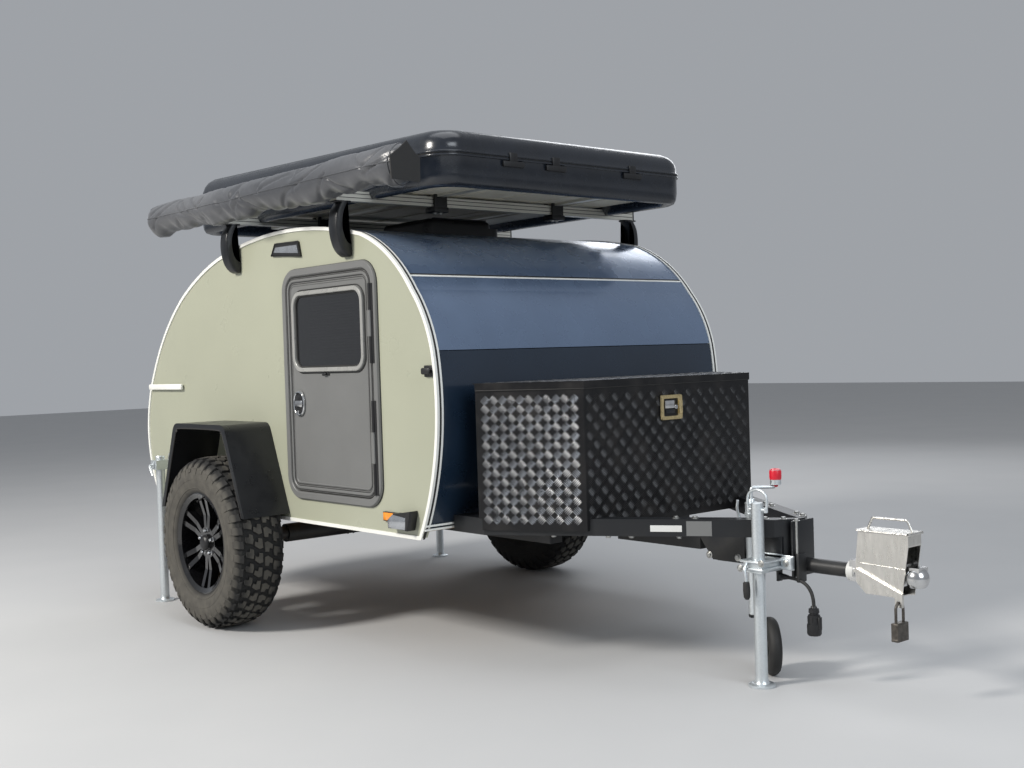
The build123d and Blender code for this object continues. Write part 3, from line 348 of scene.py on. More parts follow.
# Meshes
class Batch:
    """Shapes given in millimetres from the axle, gathered into one mesh."""

    def __init__(self):
        self.verts = []
        self.faces = []

    def add(self, points, faces):
        first = len(self.verts)
        self.verts += [at(*p) for p in points]
        self.faces += [[first + i for i in face] for face in faces]
        return self

    def loft(self, loops, caps=True, wrap=False):
        """A skin over outlines that have the same number of points; wrap joins the last to the first."""
        count = len(loops[0])
        faces = []
        for r in range(len(loops) if wrap else len(loops) - 1):
            here, after = r * count, (r + 1) % len(loops) * count
            for i in range(count):
                j = (i + 1) % count
                faces.append([here + i, here + j, after + j, after + i])
        if caps:
            faces.append(list(range(count))[::-1])
            faces.append([(len(loops) - 1) * count + i for i in range(count)])
        return self.add([p for loop in loops for p in loop], faces)

    def box(self, x0, x1, y0, y1, z0, z1, bevel=1.5):
        """A block with rounded edges."""
        bm = bmesh.new()
        bmesh.ops.create_cube(bm, size=1)
        for v in bm.verts:
            v.co = Vector((v.co.x * (x1 - x0), v.co.y * (y1 - y0), v.co.z * (z1 - z0)))
        if bevel:
            bmesh.ops.bevel(bm, geom=bm.edges[:], offset=bevel, segments=2, profile=0.5, affect="EDGES")
        middle = Vector(((x0 + x1) / 2, (y0 + y1) / 2, (z0 + z1) / 2))
        bm.verts.index_update()
        self.add([v.co + middle for v in bm.verts], [[v.index for v in f.verts] for f in bm.faces])
        bm.free()
        return self

    def turned(self, start, end, profile, sides=24):
        """A shape turned about the line from start to end: profile holds pairs of distance and radius."""
        start = Vector(start)
        axis = (Vector(end) - start).normalized()
        side = axis.orthogonal().normalized()
        other = axis.cross(side)
        rings = []
        for along, radius in profile:
            ring = []
            for i in range(sides):
                a = 2 * math.pi * i / sides
                ring.append(start + axis * along + (side * math.cos(a) + other * math.sin(a)) * radius)
            rings.append(ring)
        return self.loft(rings, caps=profile[0] != profile[-1])

    def rod(self, start, end, radius, edge=1.0, sides=20):
        length = (Vector(end) - Vector(start)).length
        edge = min(edge, radius / 2, length / 3)
        profile = [(0, radius - edge), (edge, radius), (length - edge, radius), (length, radius - edge)]
        return self.turned(start, end, profile, sides)

    def bolt(self, head, tip, radius):
        """A hexagonal bolt head on a washer; tip is any point on the side that it is screwed into."""
        out = (Vector(head) - Vector(tip)).normalized()
        height = radius * 0.75
        start = Vector(head)
        self.turned(start, start + out, [(0, radius * 1.5), (1.2, radius * 1.5), (1.6, radius * 1.4)], 20)
        profile = [(1.6, radius), (height, radius), (height + 1.2, radius * 0.82)]
        return self.turned(start, start + out, profile, 6)

    def tube(self, points, radius, sides=12, closed=False):
        """A round bar along a line of points."""
        points = [Vector(p) for p in points]
        count = len(points)
        rings = []
        side = None
        for i, p in enumerate(points):
            before = points[i - 1] if i or closed else p
            after = points[(i + 1) % count] if i < count - 1 or closed else p
            along = (after - before).normalized()
            if side is None:
                side = along.orthogonal().normalized()
            side = (side - along * side.dot(along)).normalized()
            other = along.cross(side)
            for k in range(sides):
                a = 2 * math.pi * k / sides
                rings.append(p + (side * math.cos(a) + other * math.sin(a)) * radius)
        faces = []
        for i in range(count if closed else count - 1):
            j = (i + 1) % count
            shift = 0
            if closed and j == 0:
                start = rings[i * sides]
                shift = min(range(sides), key=lambda k: (rings[k] - start).length)
            for k in range(sides):
                m = (k + 1) % sides
                across = [j * sides + (m + shift) % sides, j * sides + (k + shift) % sides]
                faces.append([i * sides + k, i * sides + m, *across])
        if not closed:
            faces.append(list(range(sides))[::-1])
            faces.append([(count - 1) * sides + k for k in range(sides)])
        return self.add(rings, faces)

    def plate(self, outline, y0, y1, bevel=1.0, frame=None):
        """A flat outline in x and z made solid from y0 to y1; frame maps it elsewhere."""
        bm = bmesh.new()
        bottom = [bm.verts.new((x, y0, z)) for x, z in outline]
        face = bm.faces.new(bottom)
        made = bmesh.ops.extrude_face_region(bm, geom=[face])
        top = [g for g in made["geom"] if isinstance(g, bmesh.types.BMVert)]
        bmesh.ops.translate(bm, verts=top, vec=(0, y1 - y0, 0))
        bmesh.ops.recalc_face_normals(bm, faces=bm.faces)
        if bevel:
            rims = [e for e in bm.edges if abs(e.verts[0].co.y - e.verts[1].co.y) < 1e-6]
            bmesh.ops.bevel(bm, geom=rims, offset=bevel, segments=2, profile=0.5, affect="EDGES")
        if frame:
            bm.transform(frame)
        bm.verts.index_update()
        self.add([v.co.copy() for v in bm.verts], [[v.index for v in f.verts] for f in bm.faces])
        bm.free()
        return self

    def make(self, name, material, body="chassis", mirrored=False, both=False, smooth=38, slot=None):
        verts = [Vector(v) for v in self.verts]
        faces = [list(f) for f in self.faces]
        if mirrored:
            verts = [Vector((v.x, -v.y, v.z)) for v in verts]
            faces = [f[::-1] for f in faces]
        if both:
            count = len(verts)
            verts += [Vector((v.x, -v.y, v.z)) for v in verts]
            faces += [[i + count for i in f[::-1]] for f in faces]
        mesh = bpy.data.meshes.new(name)
        mesh.from_pydata(verts, [], faces)
        bm = bmesh.new()
        bm.from_mesh(mesh)
        bmesh.ops.recalc_face_normals(bm, faces=bm.faces)
        bm.to_mesh(mesh)
        bm.free()
        mesh.polygons.foreach_set("use_smooth", [True] * len(mesh.polygons))
        mesh.set_sharp_from_angle(angle=math.radians(smooth))
        mesh.materials.append(MAT[material])
        piece = bpy.data.objects.new(name, mesh)
        bpy.context.scene.collection.objects.link(piece)
        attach(piece, body)
        return piece

    def sides(self, name, material, slot=None):
        """One piece on the chassis with the mesh on the left and its mirror image on the right."""
        return self.make(name, material, both=True, slot=slot)

    def pair(self, name, material, right, left, **more):
        """The same mesh on the left body and, mirrored, on the right one."""
        return [self.make(name + "_left", material, left, **more),
                self.make(name + "_right", material, right, mirrored=True, **more)]


def rounded(x, z, width, height, corner, steps=6):
    """Points round a rectangle with round corners, anticlockwise from the lower right."""
    points = []
    for cx, cz, start in ((1, -1, -90), (1, 1, 0), (-1, 1, 90), (-1, -1, 180)):
        mx = x + cx * (width / 2 - corner)
        mz = z + cz * (height / 2 - corner)
        for i in range(steps + 1):
            a = math.radians(start + 90 * i / steps)
            points.append((mx + corner * math.cos(a), mz + corner * math.sin(a)))
    return points


def smooth_line(points, steps=8):
    """A Catmull-Rom line through the points."""
    points = [Vector(p) for p in points]
    padded = [2 * points[0] - points[1]] + points + [2 * points[-1] - points[-2]]
    line = []
    for a, b, c, d in zip(padded, padded[1:], padded[2:], padded[3:]):
        for i in range(steps):
            t = i / steps
            curve = (2 * a - 5 * b + 4 * c - d) * t**2 + (3 * b - a - 3 * c + d) * t**3
            line.append(0.5 * (2 * b + (c - a) * t + curve))
    return line + [points[-1]]


# Plug cable
CABLE_POINTS = [
    (2352, -56, 360), (2394, -56, 360), (2438, -57, 355), (2470, -58, 337), (2487, -58, 302), (2487, -58, 276),
]
CABLE_DIAMETER = 0.012
PLUG_PROFILE = [
    (0, 9), (6, 11), (9, 17), (22, 18), (24, 15), (27, 15), (30, 20), (58, 21), (60, 24), (92, 24), (95, 22.5),
    (98, 20),
]


def make_cable():
    curve = bpy.data.curves.new("plug_lead", "CURVE")
    curve.dimensions = "3D"
    spline = curve.splines.new("NURBS")
    spline.points.add(len(CABLE_POINTS) - 1)
    for point, place in zip(spline.points, CABLE_POINTS):
        point.co = (*at(*place), 1)
    spline.order_u = 3
    spline.use_endpoint_u = True
    spline.resolution_u = 16
    curve.bevel_depth = CABLE_DIAMETER / 2
    curve.bevel_resolution = 5
    curve.use_fill_caps = True
    curve.materials.append(MAT["black_rubber"])
    lead = bpy.data.objects.new("plug_lead", curve)
    bpy.context.scene.collection.objects.link(lead)
    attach(lead, "chassis")
    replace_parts(lead, "plug_cable")
    x, y, top = CABLE_POINTS[-1]
    plug = Batch()
    plug.turned((x, y, top), (x, y, top - 98), PLUG_PROFILE, 28)
    for i in range(10):
        a = math.radians(36 * i)
        rib_x, rib_y = x + 20.4 * math.cos(a), y + 20.4 * math.sin(a)
        plug.rod((rib_x, rib_y, top - 34), (rib_x, rib_y, top - 56), 1.6)
    plug.box(x + 18, x + 27, y - 8, y + 8, top - 78, top - 34, 3)
    body = plug.make("plug_body", "black_plastic")
    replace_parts(body, "plug")
    gland = Batch().turned(*CABLE_POINTS[:2], [(0, 13), (5, 13), (7, 11), (18, 10), (34, 6.6)], 24)
    gland.make("cable_gland", "black_plastic")


make_cable()


# Tyres and wheels
TYRE_MIDDLE = 920
TREAD_GROOVE = 9.5
TREAD_BLOCKS = 38
CENTRE_BLOCK = [(4, 0.6), (20, 0.0), (42, 2.4), (40, 5.2), (26, 4.4), (22, 6.8), (6, 6.4)]
SECOND_BLOCK = [(50, 3.6), (78, 4.8), (80, 8.6), (64, 8.2), (62, 10.4), (48, 9.4), (46, 6.2)]
SHOULDER_BLOCK = [(88, 0.8), (120, 1.2), (139, 1.4), (139, 6.6), (118, 6.6), (104, 5.6), (90, 6.2)]
LONG_LUG = [(139, 1.6), (166, 2.2), (172, 3.4), (170, 5.6), (158, 6.2), (139, 6.4)]
SHORT_LUG = [(139, 1.6), (152, 2.0), (155, 5.8), (139, 6.4)]
RING_MARKS = [60, 100, 126, 134, 138, 150, 168, 180, 200, 220, 232]
TYRE_PROFILE = [
    (920, 372.5), (945, 372.2), (972, 371), (1000, 366), (1018, 356), (1030, 343), (1038, 326), (1042, 300),
    (1040, 272), (1037, 250), (1031, 234), (1022, 222), (1014, 208),
]


class Section:
    """Half a tyre's outside, measured by the length along it from the middle of the tread."""

    def __init__(self, points):
        self.points = points
        self.marks = [0.0]
        for a, b in zip(points, points[1:]):
            self.marks.append(self.marks[-1] + math.dist(a, b))

    def place(self, length, inwards=0.0):
        sign = -1 if length < 0 else 1
        length = min(abs(length), self.marks[-1] - 0.01)
        i = max(k for k, m in enumerate(self.marks) if m <= length)
        i = min(i, len(self.points) - 2)
        t = (length - self.marks[i]) / (self.marks[i + 1] - self.marks[i])
        (y0, r0), (y1, r1) = self.points[i], self.points[i + 1]
        run = math.dist(self.points[i], self.points[i + 1])
        across = ((r0 - r1) / run, (y1 - y0) / run)
        y = y0 + (y1 - y0) * t - across[0] * inwards
        r = r0 + (r1 - r0) * t - across[1] * inwards
        return TYRE_MIDDLE + sign * (y - TYRE_MIDDLE), r


def around_wheel(y, r, sides):
    """Points on a circle round the axle."""
    angles = [2 * math.pi * i / sides for i in range(sides)]
    return [(r * math.cos(a), y, WHEEL_Z + r * math.sin(a)) for a in angles]


def tread_block(tyre, section, outline, turn, top=0.0, base=TREAD_GROOVE + 2, taper=0.12):
    """One block of the tread; outline holds pairs of length across the tread and degrees round it."""
    middle_s = sum(s for s, _ in outline) / len(outline)
    middle_a = sum(a for _, a in outline) / len(outline)
    points = []
    for inwards, widen in ((base, 1 + taper), (top + 1.2, 1.0), (top, 1 - taper / 2)):
        for s, a in outline:
            a1 = math.radians(turn + middle_a + (a - middle_a) * widen)
            y, r = section.place(middle_s + (s - middle_s) * widen, inwards)
            points.append((r * math.cos(a1), y, WHEEL_Z + r * math.sin(a1)))
    n = len(outline)
    faces = []
    for k in (0, n):
        faces += [[k + i, k + (i + 1) % n, k + n + (i + 1) % n, k + n + i] for i in range(n)]
    faces.append([2 * n + i for i in range(n)])
    tyre.add(points, faces)


def opposite(outline):
    return [(-s, -a) for s, a in outline][::-1]


def make_tyre():
    section = Section(TYRE_PROFILE)

    def depth(s):
        return TREAD_GROOVE if abs(s) < 130 else (3 if abs(s) < 152 else 0)

    marks = [-s for s in RING_MARKS[::-1]] + [0] + RING_MARKS
    rings = [section.place(s, depth(s)) for s in marks] + [(1012, 206), (828, 206)]
    tyre = Batch().loft([around_wheel(y, r, 120) for y, r in rings], caps=False, wrap=True)
    pitch = 360 / TREAD_BLOCKS
    half = pitch * 0.45
    for k in range(TREAD_BLOCKS):
        turn = k * pitch
        for outline in (CENTRE_BLOCK, SECOND_BLOCK, SHOULDER_BLOCK):
            tread_block(tyre, section, outline, turn)
            tread_block(tyre, section, opposite(outline), turn + half)
        lug = LONG_LUG if k % 2 else SHORT_LUG
        for outline, angle in ((lug, turn), (opposite(lug), turn + half)):
            tread_block(tyre, section, outline, angle, top=-0.3 if FULL else 0, base=4, taper=0.06)
    for s, size in ((186, 1.6), (224, 2.4)):
        for sign in (1, -1):
            tyre.tube(around_wheel(*section.place(sign * s, 0.6), 96), size, 6, closed=True)
    pieces = tyre.pair("tyre_tread", "tyre", "wheel_right", "wheel_left", smooth=30)
    for piece, node in zip(pieces, ("tyre_left", "tyre_right")):
        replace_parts(piece, node)


make_tyre()


def make_hubs():
    wheels = ("wheel_right", "wheel_left")
    cap = [(0, 33), (2, 33), (7, 31), (13, 26), (16, 17), (17, 2)]
    Batch().turned((0, 999, WHEEL_Z), (0, 1020, WHEEL_Z), cap, 32).pair("wheel_caps", "black_plastic", *wheels)
    nuts = Batch()
    for k in range(5):
        a = math.radians(72 * k + 18)
        x, z = 52 * math.cos(a), WHEEL_Z + 52 * math.sin(a)
        nuts.turned((x, 989, z), (x, 1010, z), [(0, 11), (1, 11), (3, 8.5), (13, 8.5), (16, 6)], 6)
    nuts.pair("wheel_nuts", "bright_steel", *wheels)
    stem = [(0, 5), (4, 5), (6, 3.4), (18, 3.4), (19, 4), (24, 4), (25, 3)]
    valve = Batch().turned((0, 1010, WHEEL_Z + 190), (4, 1034, WHEEL_Z + 182), stem, 12)
    valve.pair("wheel_valves", "black_rubber", *wheels)


make_hubs()


# Storage box: five-bar chequer relief
BAR_PITCH, BAR_HALF, BAR_HALF_WIDTH, BAR_HEIGHT = 6.0, 15.5, 2.2, 1.3
BAR_FACES = [[0, 1, 6], [1, 2, 7, 6], [2, 3, 7], [3, 4, 7], [4, 5, 6, 7], [5, 0, 6]]
CELL = 33.0


def chequer(batch, origin, along, up, width, height):
    """Raised bars in groups of five, turned a quarter from one group to the next."""
    origin, along, up = Vector(origin), Vector(along).normalized(), Vector(up).normalized()
    out = along.cross(up)
    columns = int((width - 6) / CELL)
    rows = int((height - 6) / CELL)
    margin_u = (width - columns * CELL) / 2
    margin_v = (height - rows * CELL) / 2
    for c in range(columns):
        for r in range(rows):
            middle = origin + along * (margin_u + (c + 0.5) * CELL) + up * (margin_v + (r + 0.5) * CELL)
            lean = math.radians(45 if (c + r) % 2 else -45)
            d = along * math.cos(lean) + up * math.sin(lean)
            n = out.cross(d)
            for k in (-2, -1, 0, 1, 2):
                p = middle + n * k * BAR_PITCH
                half = BAR_HALF - abs(k) * 1.2
                shoulder = d * half * 0.6
                side = n * BAR_HALF_WIDTH
                ring = [p - d * half, p - shoulder - side, p + shoulder - side, p + d * half,
                        p + shoulder + side, p - shoulder + side]
                top = [p - shoulder + out * BAR_HEIGHT, p + shoulder + out * BAR_HEIGHT]
                batch.add([*ring, *top], BAR_FACES)
    return batch


BOX_REAR, BOX_FRONT = 1490, 1830
BOX_REAR_HALF, BOX_FRONT_HALF = 670, 457
BOX_FACE_LOW, BOX_FACE_HEIGHT = 520, 496
BOX_TOP = 1045
ARM_BOTTOM, ARM_TOP = 497, 557


def make_box():
    run = Vector((BOX_FRONT - BOX_REAR, BOX_FRONT_HALF - BOX_REAR_HALF, 0))
    upward = (0, 0, 1)
    corner = (BOX_FRONT, BOX_FRONT_HALF, BOX_FACE_LOW)
    # The side bars take the paler finish, a painted glint; the front bars keep the plate's own dark finish.
    side = chequer(Batch(), corner, -run, upward, run.length, BOX_FACE_HEIGHT)
    side.sides("box_side_relief", "painted_glint_relief", slot="chequer_plate")
    corner = (BOX_FRONT, -BOX_FRONT_HALF, BOX_FACE_LOW)
    front = chequer(Batch(), corner, (0, 1, 0), upward, 2 * BOX_FRONT_HALF, BOX_FACE_HEIGHT)
    front.make("box_front_relief", "chequer_plate")
    top = Batch()
    for row in range(10):
        x = BOX_REAR + 4 + (row + 1) * CELL
        half = BOX_REAR_HALF - (x - BOX_REAR) * (BOX_REAR_HALF - BOX_FRONT_HALF) / (BOX_FRONT - BOX_REAR)
        chequer(top, (x, -half, BOX_TOP), (0, 1, 0), (-1, 0, 0), 2 * half, 39)
    # The lid bars take the same paler finish, a painted glint.
    top.make("box_lid_relief", "painted_glint_relief", "box_lid", slot="chequer_plate")
    outer = rounded(-8, 930, 118, 94, 8, 3)
    inner = rounded(-14, 930, 78, 66, 5, 3)
    edge = [(y * 0.97 - 0.3, (z - 930) * 0.97 + 930) for y, z in outer]
    section = ((1835, outer), (1840, edge), (1840, inner), (1832, inner))
    loops = [[(x, y, z) for y, z in line] for x, line in section]
    latch = Batch().loft(loops, caps=False).box(1836, 1846, 27, 46, 905, 955, 3)
    latch.make("box_latch_frame", "brass_lock")
    recess = Batch().box(1830.5, 1834, -52, 24, 898, 962, 1).box(1834, 1838, -40, 10, 908, 922, 2)
    recess.make("box_latch_recess", "black_steel")
    paddle = Batch().box(1834, 1841, -46, 6, 926, 956, 3)
    paddle.turned((1834, 16, 930), (1850, 16, 930), [(0, 9), (5, 9), (7, 7.5)], 20)
    paddle.make("box_latch_paddle", "bright_steel")
    bolts = Batch()
    for x, y in ((1870, -395), (1700, -500), (1940, -350), (2080, -258)):
        bolts.bolt((x, y, ARM_BOTTOM), (x, y, ARM_BOTTOM + 23), 9)
    bolts.sides("box_bolts", "pin_bolt")
    seam = [(BOX_REAR + 3, -BOX_REAR_HALF - 2), (BOX_FRONT + 2, -BOX_FRONT_HALF - 1)]
    seam += [(x, -y) for x, y in seam[::-1]]
    seal = Batch().tube([(x, y, 1018) for x, y in seam], 2.2, 8)
    seal.make("box_lid_seal", "black_rubber")


make_box()


# The body's side outline: arcs from each start through a middle to an end, in x and z
BODY_HALF = 775
BODY_START = (1277, 476)
BODY_ARCS = [
    ((1396, 853), (1387, 1168)), ((1341, 1295), (1273, 1396)), ((1141, 1533), (947, 1635)),
    ((428, 1698), (-206, 1628)), ((-399, 1564), (-577, 1476)), ((-829, 1257), (-965, 1046)),
    ((-1018, 793), (-950, 556)),
]
BODY_TAIL = (-894, 476)
SEAM_FRONT_TOP = (1225, 1453)
SEAM_HATCH_TOP = (-577, 1476)
SEAM_HALF = 748


def arc(start, middle, end, step=14):
    """Points from start to just before end on the circle through three points."""
    (ax, az), (bx, bz), (cx, cz) = start, middle, end
    d = 2 * (ax * (bz - cz) + bx * (cz - az) + cx * (az - bz))
    a, b, c = ax**2 + az**2, bx**2 + bz**2, cx**2 + cz**2
    ux = (a * (bz - cz) + b * (cz - az) + c * (az - bz)) / d
    uz = (a * (cx - bx) + b * (ax - cx) + c * (bx - ax)) / d
    radius = math.dist(start, (ux, uz))
    first = math.atan2(az - uz, ax - ux)
    sweep = (math.atan2(cz - uz, cx - ux) - first) % (2 * math.pi)
    count = max(2, round(radius * sweep / step))
    angles = [first + sweep * i / count for i in range(count)]
    return [(ux + radius * math.cos(angle), uz + radius * math.sin(angle)) for angle in angles]


def body_line():
    line = []
    start = BODY_START
    for middle, end in BODY_ARCS:
        line += arc(start, middle, end)
        start = end
    return line + [start, BODY_TAIL]


BODY_LINE = body_line()


def nearest(point):
    return min(range(len(BODY_LINE)), key=lambda i: math.dist(BODY_LINE[i], point))


def run_and_out(i):
    """The outline's direction at one of its points, and the direction away from the body there."""
    run = (Vector(BODY_LINE[min(i + 1, len(BODY_LINE) - 1)]) - Vector(BODY_LINE[max(i - 1, 0)])).normalized()
    return run, Vector((run.y, -run.x))


def along_body(first, last, low, high, y0, y1):
    """A strip that follows the outline between two points of it, from one height over the skin to another."""
    loops = []
    for i in range(nearest(first), nearest(last) + 1):
        out = run_and_out(i)[1]
        here = Vector(BODY_LINE[i])
        corners = [(here + out * lift, y) for lift, y in ((low, y0), (high, y0), (high, y1), (low, y1))]
        loops.append([(p.x, y, p.y) for p, y in corners])
    return Batch().loft(loops)


def across_skin(seam, shift, wide, lift):
    """A flat strip across the skin; shift is how far it lies past the seam along the outline."""
    run, out = run_and_out(nearest(seam))
    ends = []
    for along, up in ((0, -3), (1, -3), (1, lift * 0.7), (0.75, lift), (0.25, lift), (0, lift * 0.7)):
        p = Vector(seam) + run * (shift + wide * along) + out * up
        ends.append((p.x, p.y))
    return Batch().plate(ends, -SEAM_HALF, SEAM_HALF, 0)


def make_body_trim():
    insert = along_body(BODY_START, SEAM_HATCH_TOP, 3, 5.2, BODY_HALF - 14, BODY_HALF - 6)
    insert.sides("edge_inserts", "black_rubber")
    edging = along_body((-894, 1160), (-950, 556), -1, 3, BODY_HALF - 2, BODY_HALF + 5.5)
    edging.sides("tail_edging", "white_trim")
    across_skin(SEAM_FRONT_TOP, 0, 8, 3.2).make("front_seam_cover", "black_rubber")
    # A white strip beside the seam cover: a painted highlight along the seam's edge.
    across_skin(SEAM_FRONT_TOP, -8, 8, 3.8).make("front_seam_painted_highlight", "white_trim")
    across_skin(SEAM_HATCH_TOP, -9, 6, 4).make("hatch_seal", "black_rubber")
    amber = Batch().box(1053, 1137, 776, 788, 530, 561, 4)
    amber.sides("side_marker_lenses", "amber_lens", slot="lamp_plastic")
    lens = Batch().plate([(1120, 506), (1238, 508), (1240, 556), (1150, 563), (1116, 540)], 786, 815, 7)
    lens.sides("position_lamps", "clear_lens", slot="lamp_plastic")
    hood = [(1150, 563), (1262, 580), (1262, 560), (1244, 506), (1232, 506), (1236, 556)]
    Batch().plate(hood, 776, 817, 3).sides("position_lamp_hoods", "black_plastic")
    slot = Batch().plate([(300, 1612), (318, 1634), (490, 1630), (500, 1594)], 781, 786, 2)
    slot.sides("side_slot_lenses", "clear_lens", slot="lamp_plastic")
    lip = [(x, BODY_HALF + 8, z) for x, z in ((279, 1601), (310, 1648), (498, 1643), (515, 1581))]
    Batch().tube(lip, 3.5, 8, closed=True).sides("side_slot_rims", "black_plastic")
    hook = Batch().box(1335, 1385, 775, 781, 1074, 1116, 3).rod((1360, 780, 1095), (1360, 797, 1095), 9)
    hook.box(1338, 1386, 790, 799, 1083, 1107, 5).sides("door_holders", "black_plastic")
    rail = Batch().box(-962, -604, 782, 796, 1030, 1058, 6)
    for x in (-940, -640):
        rail.box(x - 14, x + 14, 775, 784, 1034, 1054, 3)
    rail.sides("side_rails", "white_trim")
    for name, y0, y1 in (("red_lens", 480, 548), ("amber_lens", 550, 592), ("clear_lens", 594, 640)):
        piece = Batch().box(-1002, -992, y0 + 2, y1 - 2, 600, 633, 3)
        piece.sides("rear_" + name, name, slot="lamp_plastic")
    latch = Batch()
    knob = [(-6, 24), (4, 24), (6, 21), (8, 9), (20, 9), (21, 8)]
    for y in (-420, 420):
        latch.turned((-994, y, 760), (-1029, y, 760), knob, 28)
        latch.box(-1029, -1020, y - 32, y + 32, 752, 768, 4)
    latch.make("hatch_latches", "black_plastic", "rear_hatch")


make_body_trim()


# Doors: middle in x and z, width, height and corner radius
DOOR = (703, 1051, 670, 936, 84)
WINDOW = (707, 1268, 494, 301, 47)
LATCH = (474, 971, 82, 104, 40)
BLIND_X, BLIND_WIDTH, BLIND_LOW, PLEAT = 520, 424, 1120, 12


def grown(shape, more):
    x, z, width, height, corner = shape
    return rounded(x, z, width + 2 * more, height + 2 * more, corner + more, 8)


def beads(shape, lines):
    """Round beads that follow a shape; each line is how far outside, at what y, and the radius."""
    batch = Batch()
    for more, y, radius in lines:
        batch.tube([(x, y, z) for x, z in grown(shape, more)], radius, 10, closed=True)
    return batch


def band(shape, inner, outer, y0, y1, batch=None):
    """A raised ring with rounded edges between two outlines."""
    section = [(outer, y0), (outer - 0.6, y1 - 2), (outer - 3, y1)]
    section += [(inner + 3, y1), (inner + 0.6, y1 - 2), (inner, y0)]
    loops = [[(x, y, z) for x, z in grown(shape, more)] for more, y in section]
    return (batch or Batch()).loft(loops, caps=False, wrap=True)


def on_doors(batch, name, material, **more):
    return batch.pair(name, material, "door_right", "door_left", **more)


def make_doors():
    band(DOOR, -19, 9, 782, 788).sides("door_frame_beads", "door_paint")
    beads(DOOR, [(10.5, 776, 2.6), (-24, 779, 2.6)]).sides("door_seals", "black_rubber")
    on_doors(band(DOOR, -62, -54, 782, 785.5, band(DOOR, -44, -32, 782, 787.5)), "door_ribs", "door_paint")
    # Thin black beads just beside the raised ribs: painted shade along the ribs' edges.
    on_doors(beads(DOOR, [(more, 783.2, 1.3) for more in (-30, -46, -52)]), "door_rib_painted_shade", "black_rubber")
    on_doors(band(WINDOW, -2, 16, 782, 796), "window_frames", "window_rim")
    on_doors(beads(WINDOW, [(-5, 784, 4), (21, 784, 2)]), "window_gaskets", "black_rubber")
    pleats = [(748 + 10 * k, BLIND_LOW + i * PLEAT + 6 * k) for i in range(25) for k in (0, 1)]
    blind = Batch()
    columns = 24
    for x in range(columns + 1):
        for y, z in pleats:
            wave = 1.5 * math.sin(x * 0.9 + z * 0.05)
            blind.verts.append(at(BLIND_X + x * BLIND_WIDTH / columns, y + wave, z))
    rows = len(pleats)
    for c in range(columns):
        for r in range(rows - 1):
            near, far = c * rows + r, (c + 1) * rows + r
            blind.faces.append([near, near + 1, far + 1, far])
    for piece in on_doors(blind, "window_blinds", "blind", slot="cushion"):
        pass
    on_doors(band(LATCH, -9, 0, 787, 794), "latch_rims", "chrome", slot="bright_steel")
    cup = Batch().plate(rounded(474, 971, 66, 88, 32), 787.5, 789, 0.4).box(462, 500, 789, 791, 990, 1004, 0.8)
    on_doors(cup, "latch_cups", "black_plastic")
    paddle = Batch().box(448, 500, 789, 796, 956, 984, 3)
    paddle.turned((466, 788, 934), (466, 800, 934), [(0, 9), (5, 9), (6.5, 7.5)], 20)
    on_doors(paddle, "latch_paddles", "bright_steel")
    catch = Batch().box(655, 707, 783, 788, 1086, 1098, 2).box(668, 694, 787, 797, 1086, 1098, 4)
    on_doors(catch, "door_catches", "black_plastic")


make_doors()


# Roof tent: two shells, ribs, latches and the pale panel underneath
TENT_MIDDLE_X, TENT_LONG, TENT_WIDE, TENT_CORNER = 362.5, 1965, 1364, 110
TENT_JOINT = 1904
TENT_BASE = [
    (70, 1823), (58, 1800), (44, 1783), (26, 1778), (12, 1784), (4, 1800), (0, 1828), (0, 1893), (-2, 1896),
    (-2, 1901), (20, 1901),
]
TENT_LID = [
    (20, 0.0), (-2, 0.0), (-2, 0.04), (0, 0.06), (1, 0.3), (5, 0.5), (14, 0.68), (28, 0.82), (50, 0.93),
    (84, 0.985), (130, 1.0),
]
SIDE_RIB = [
    (-560, 2000), (-540, 2054), (-500, 2060), (1080, 2019), (1180, 2013), (1260, 1994), (1310, 1966),
    (1336, 1935), (1300, 1925),
]
MIDDLE_RIB = [(-560, 2000), (-540, 2048), (-500, 2054), (1080, 2013), (1180, 2005), (1240, 1985), (1260, 1940)]
BAR_X = (-30, 860)
BAR_LOW = 1767


def tent_top(x):
    return 2050 - (x + 620) * 0.0254


def tent_plan(inset, steps=12):
    corner = max(TENT_CORNER - inset * 0.5, 30)
    return rounded(TENT_MIDDLE_X, 0, TENT_LONG - 2 * inset, TENT_WIDE - 2 * inset, corner, steps)


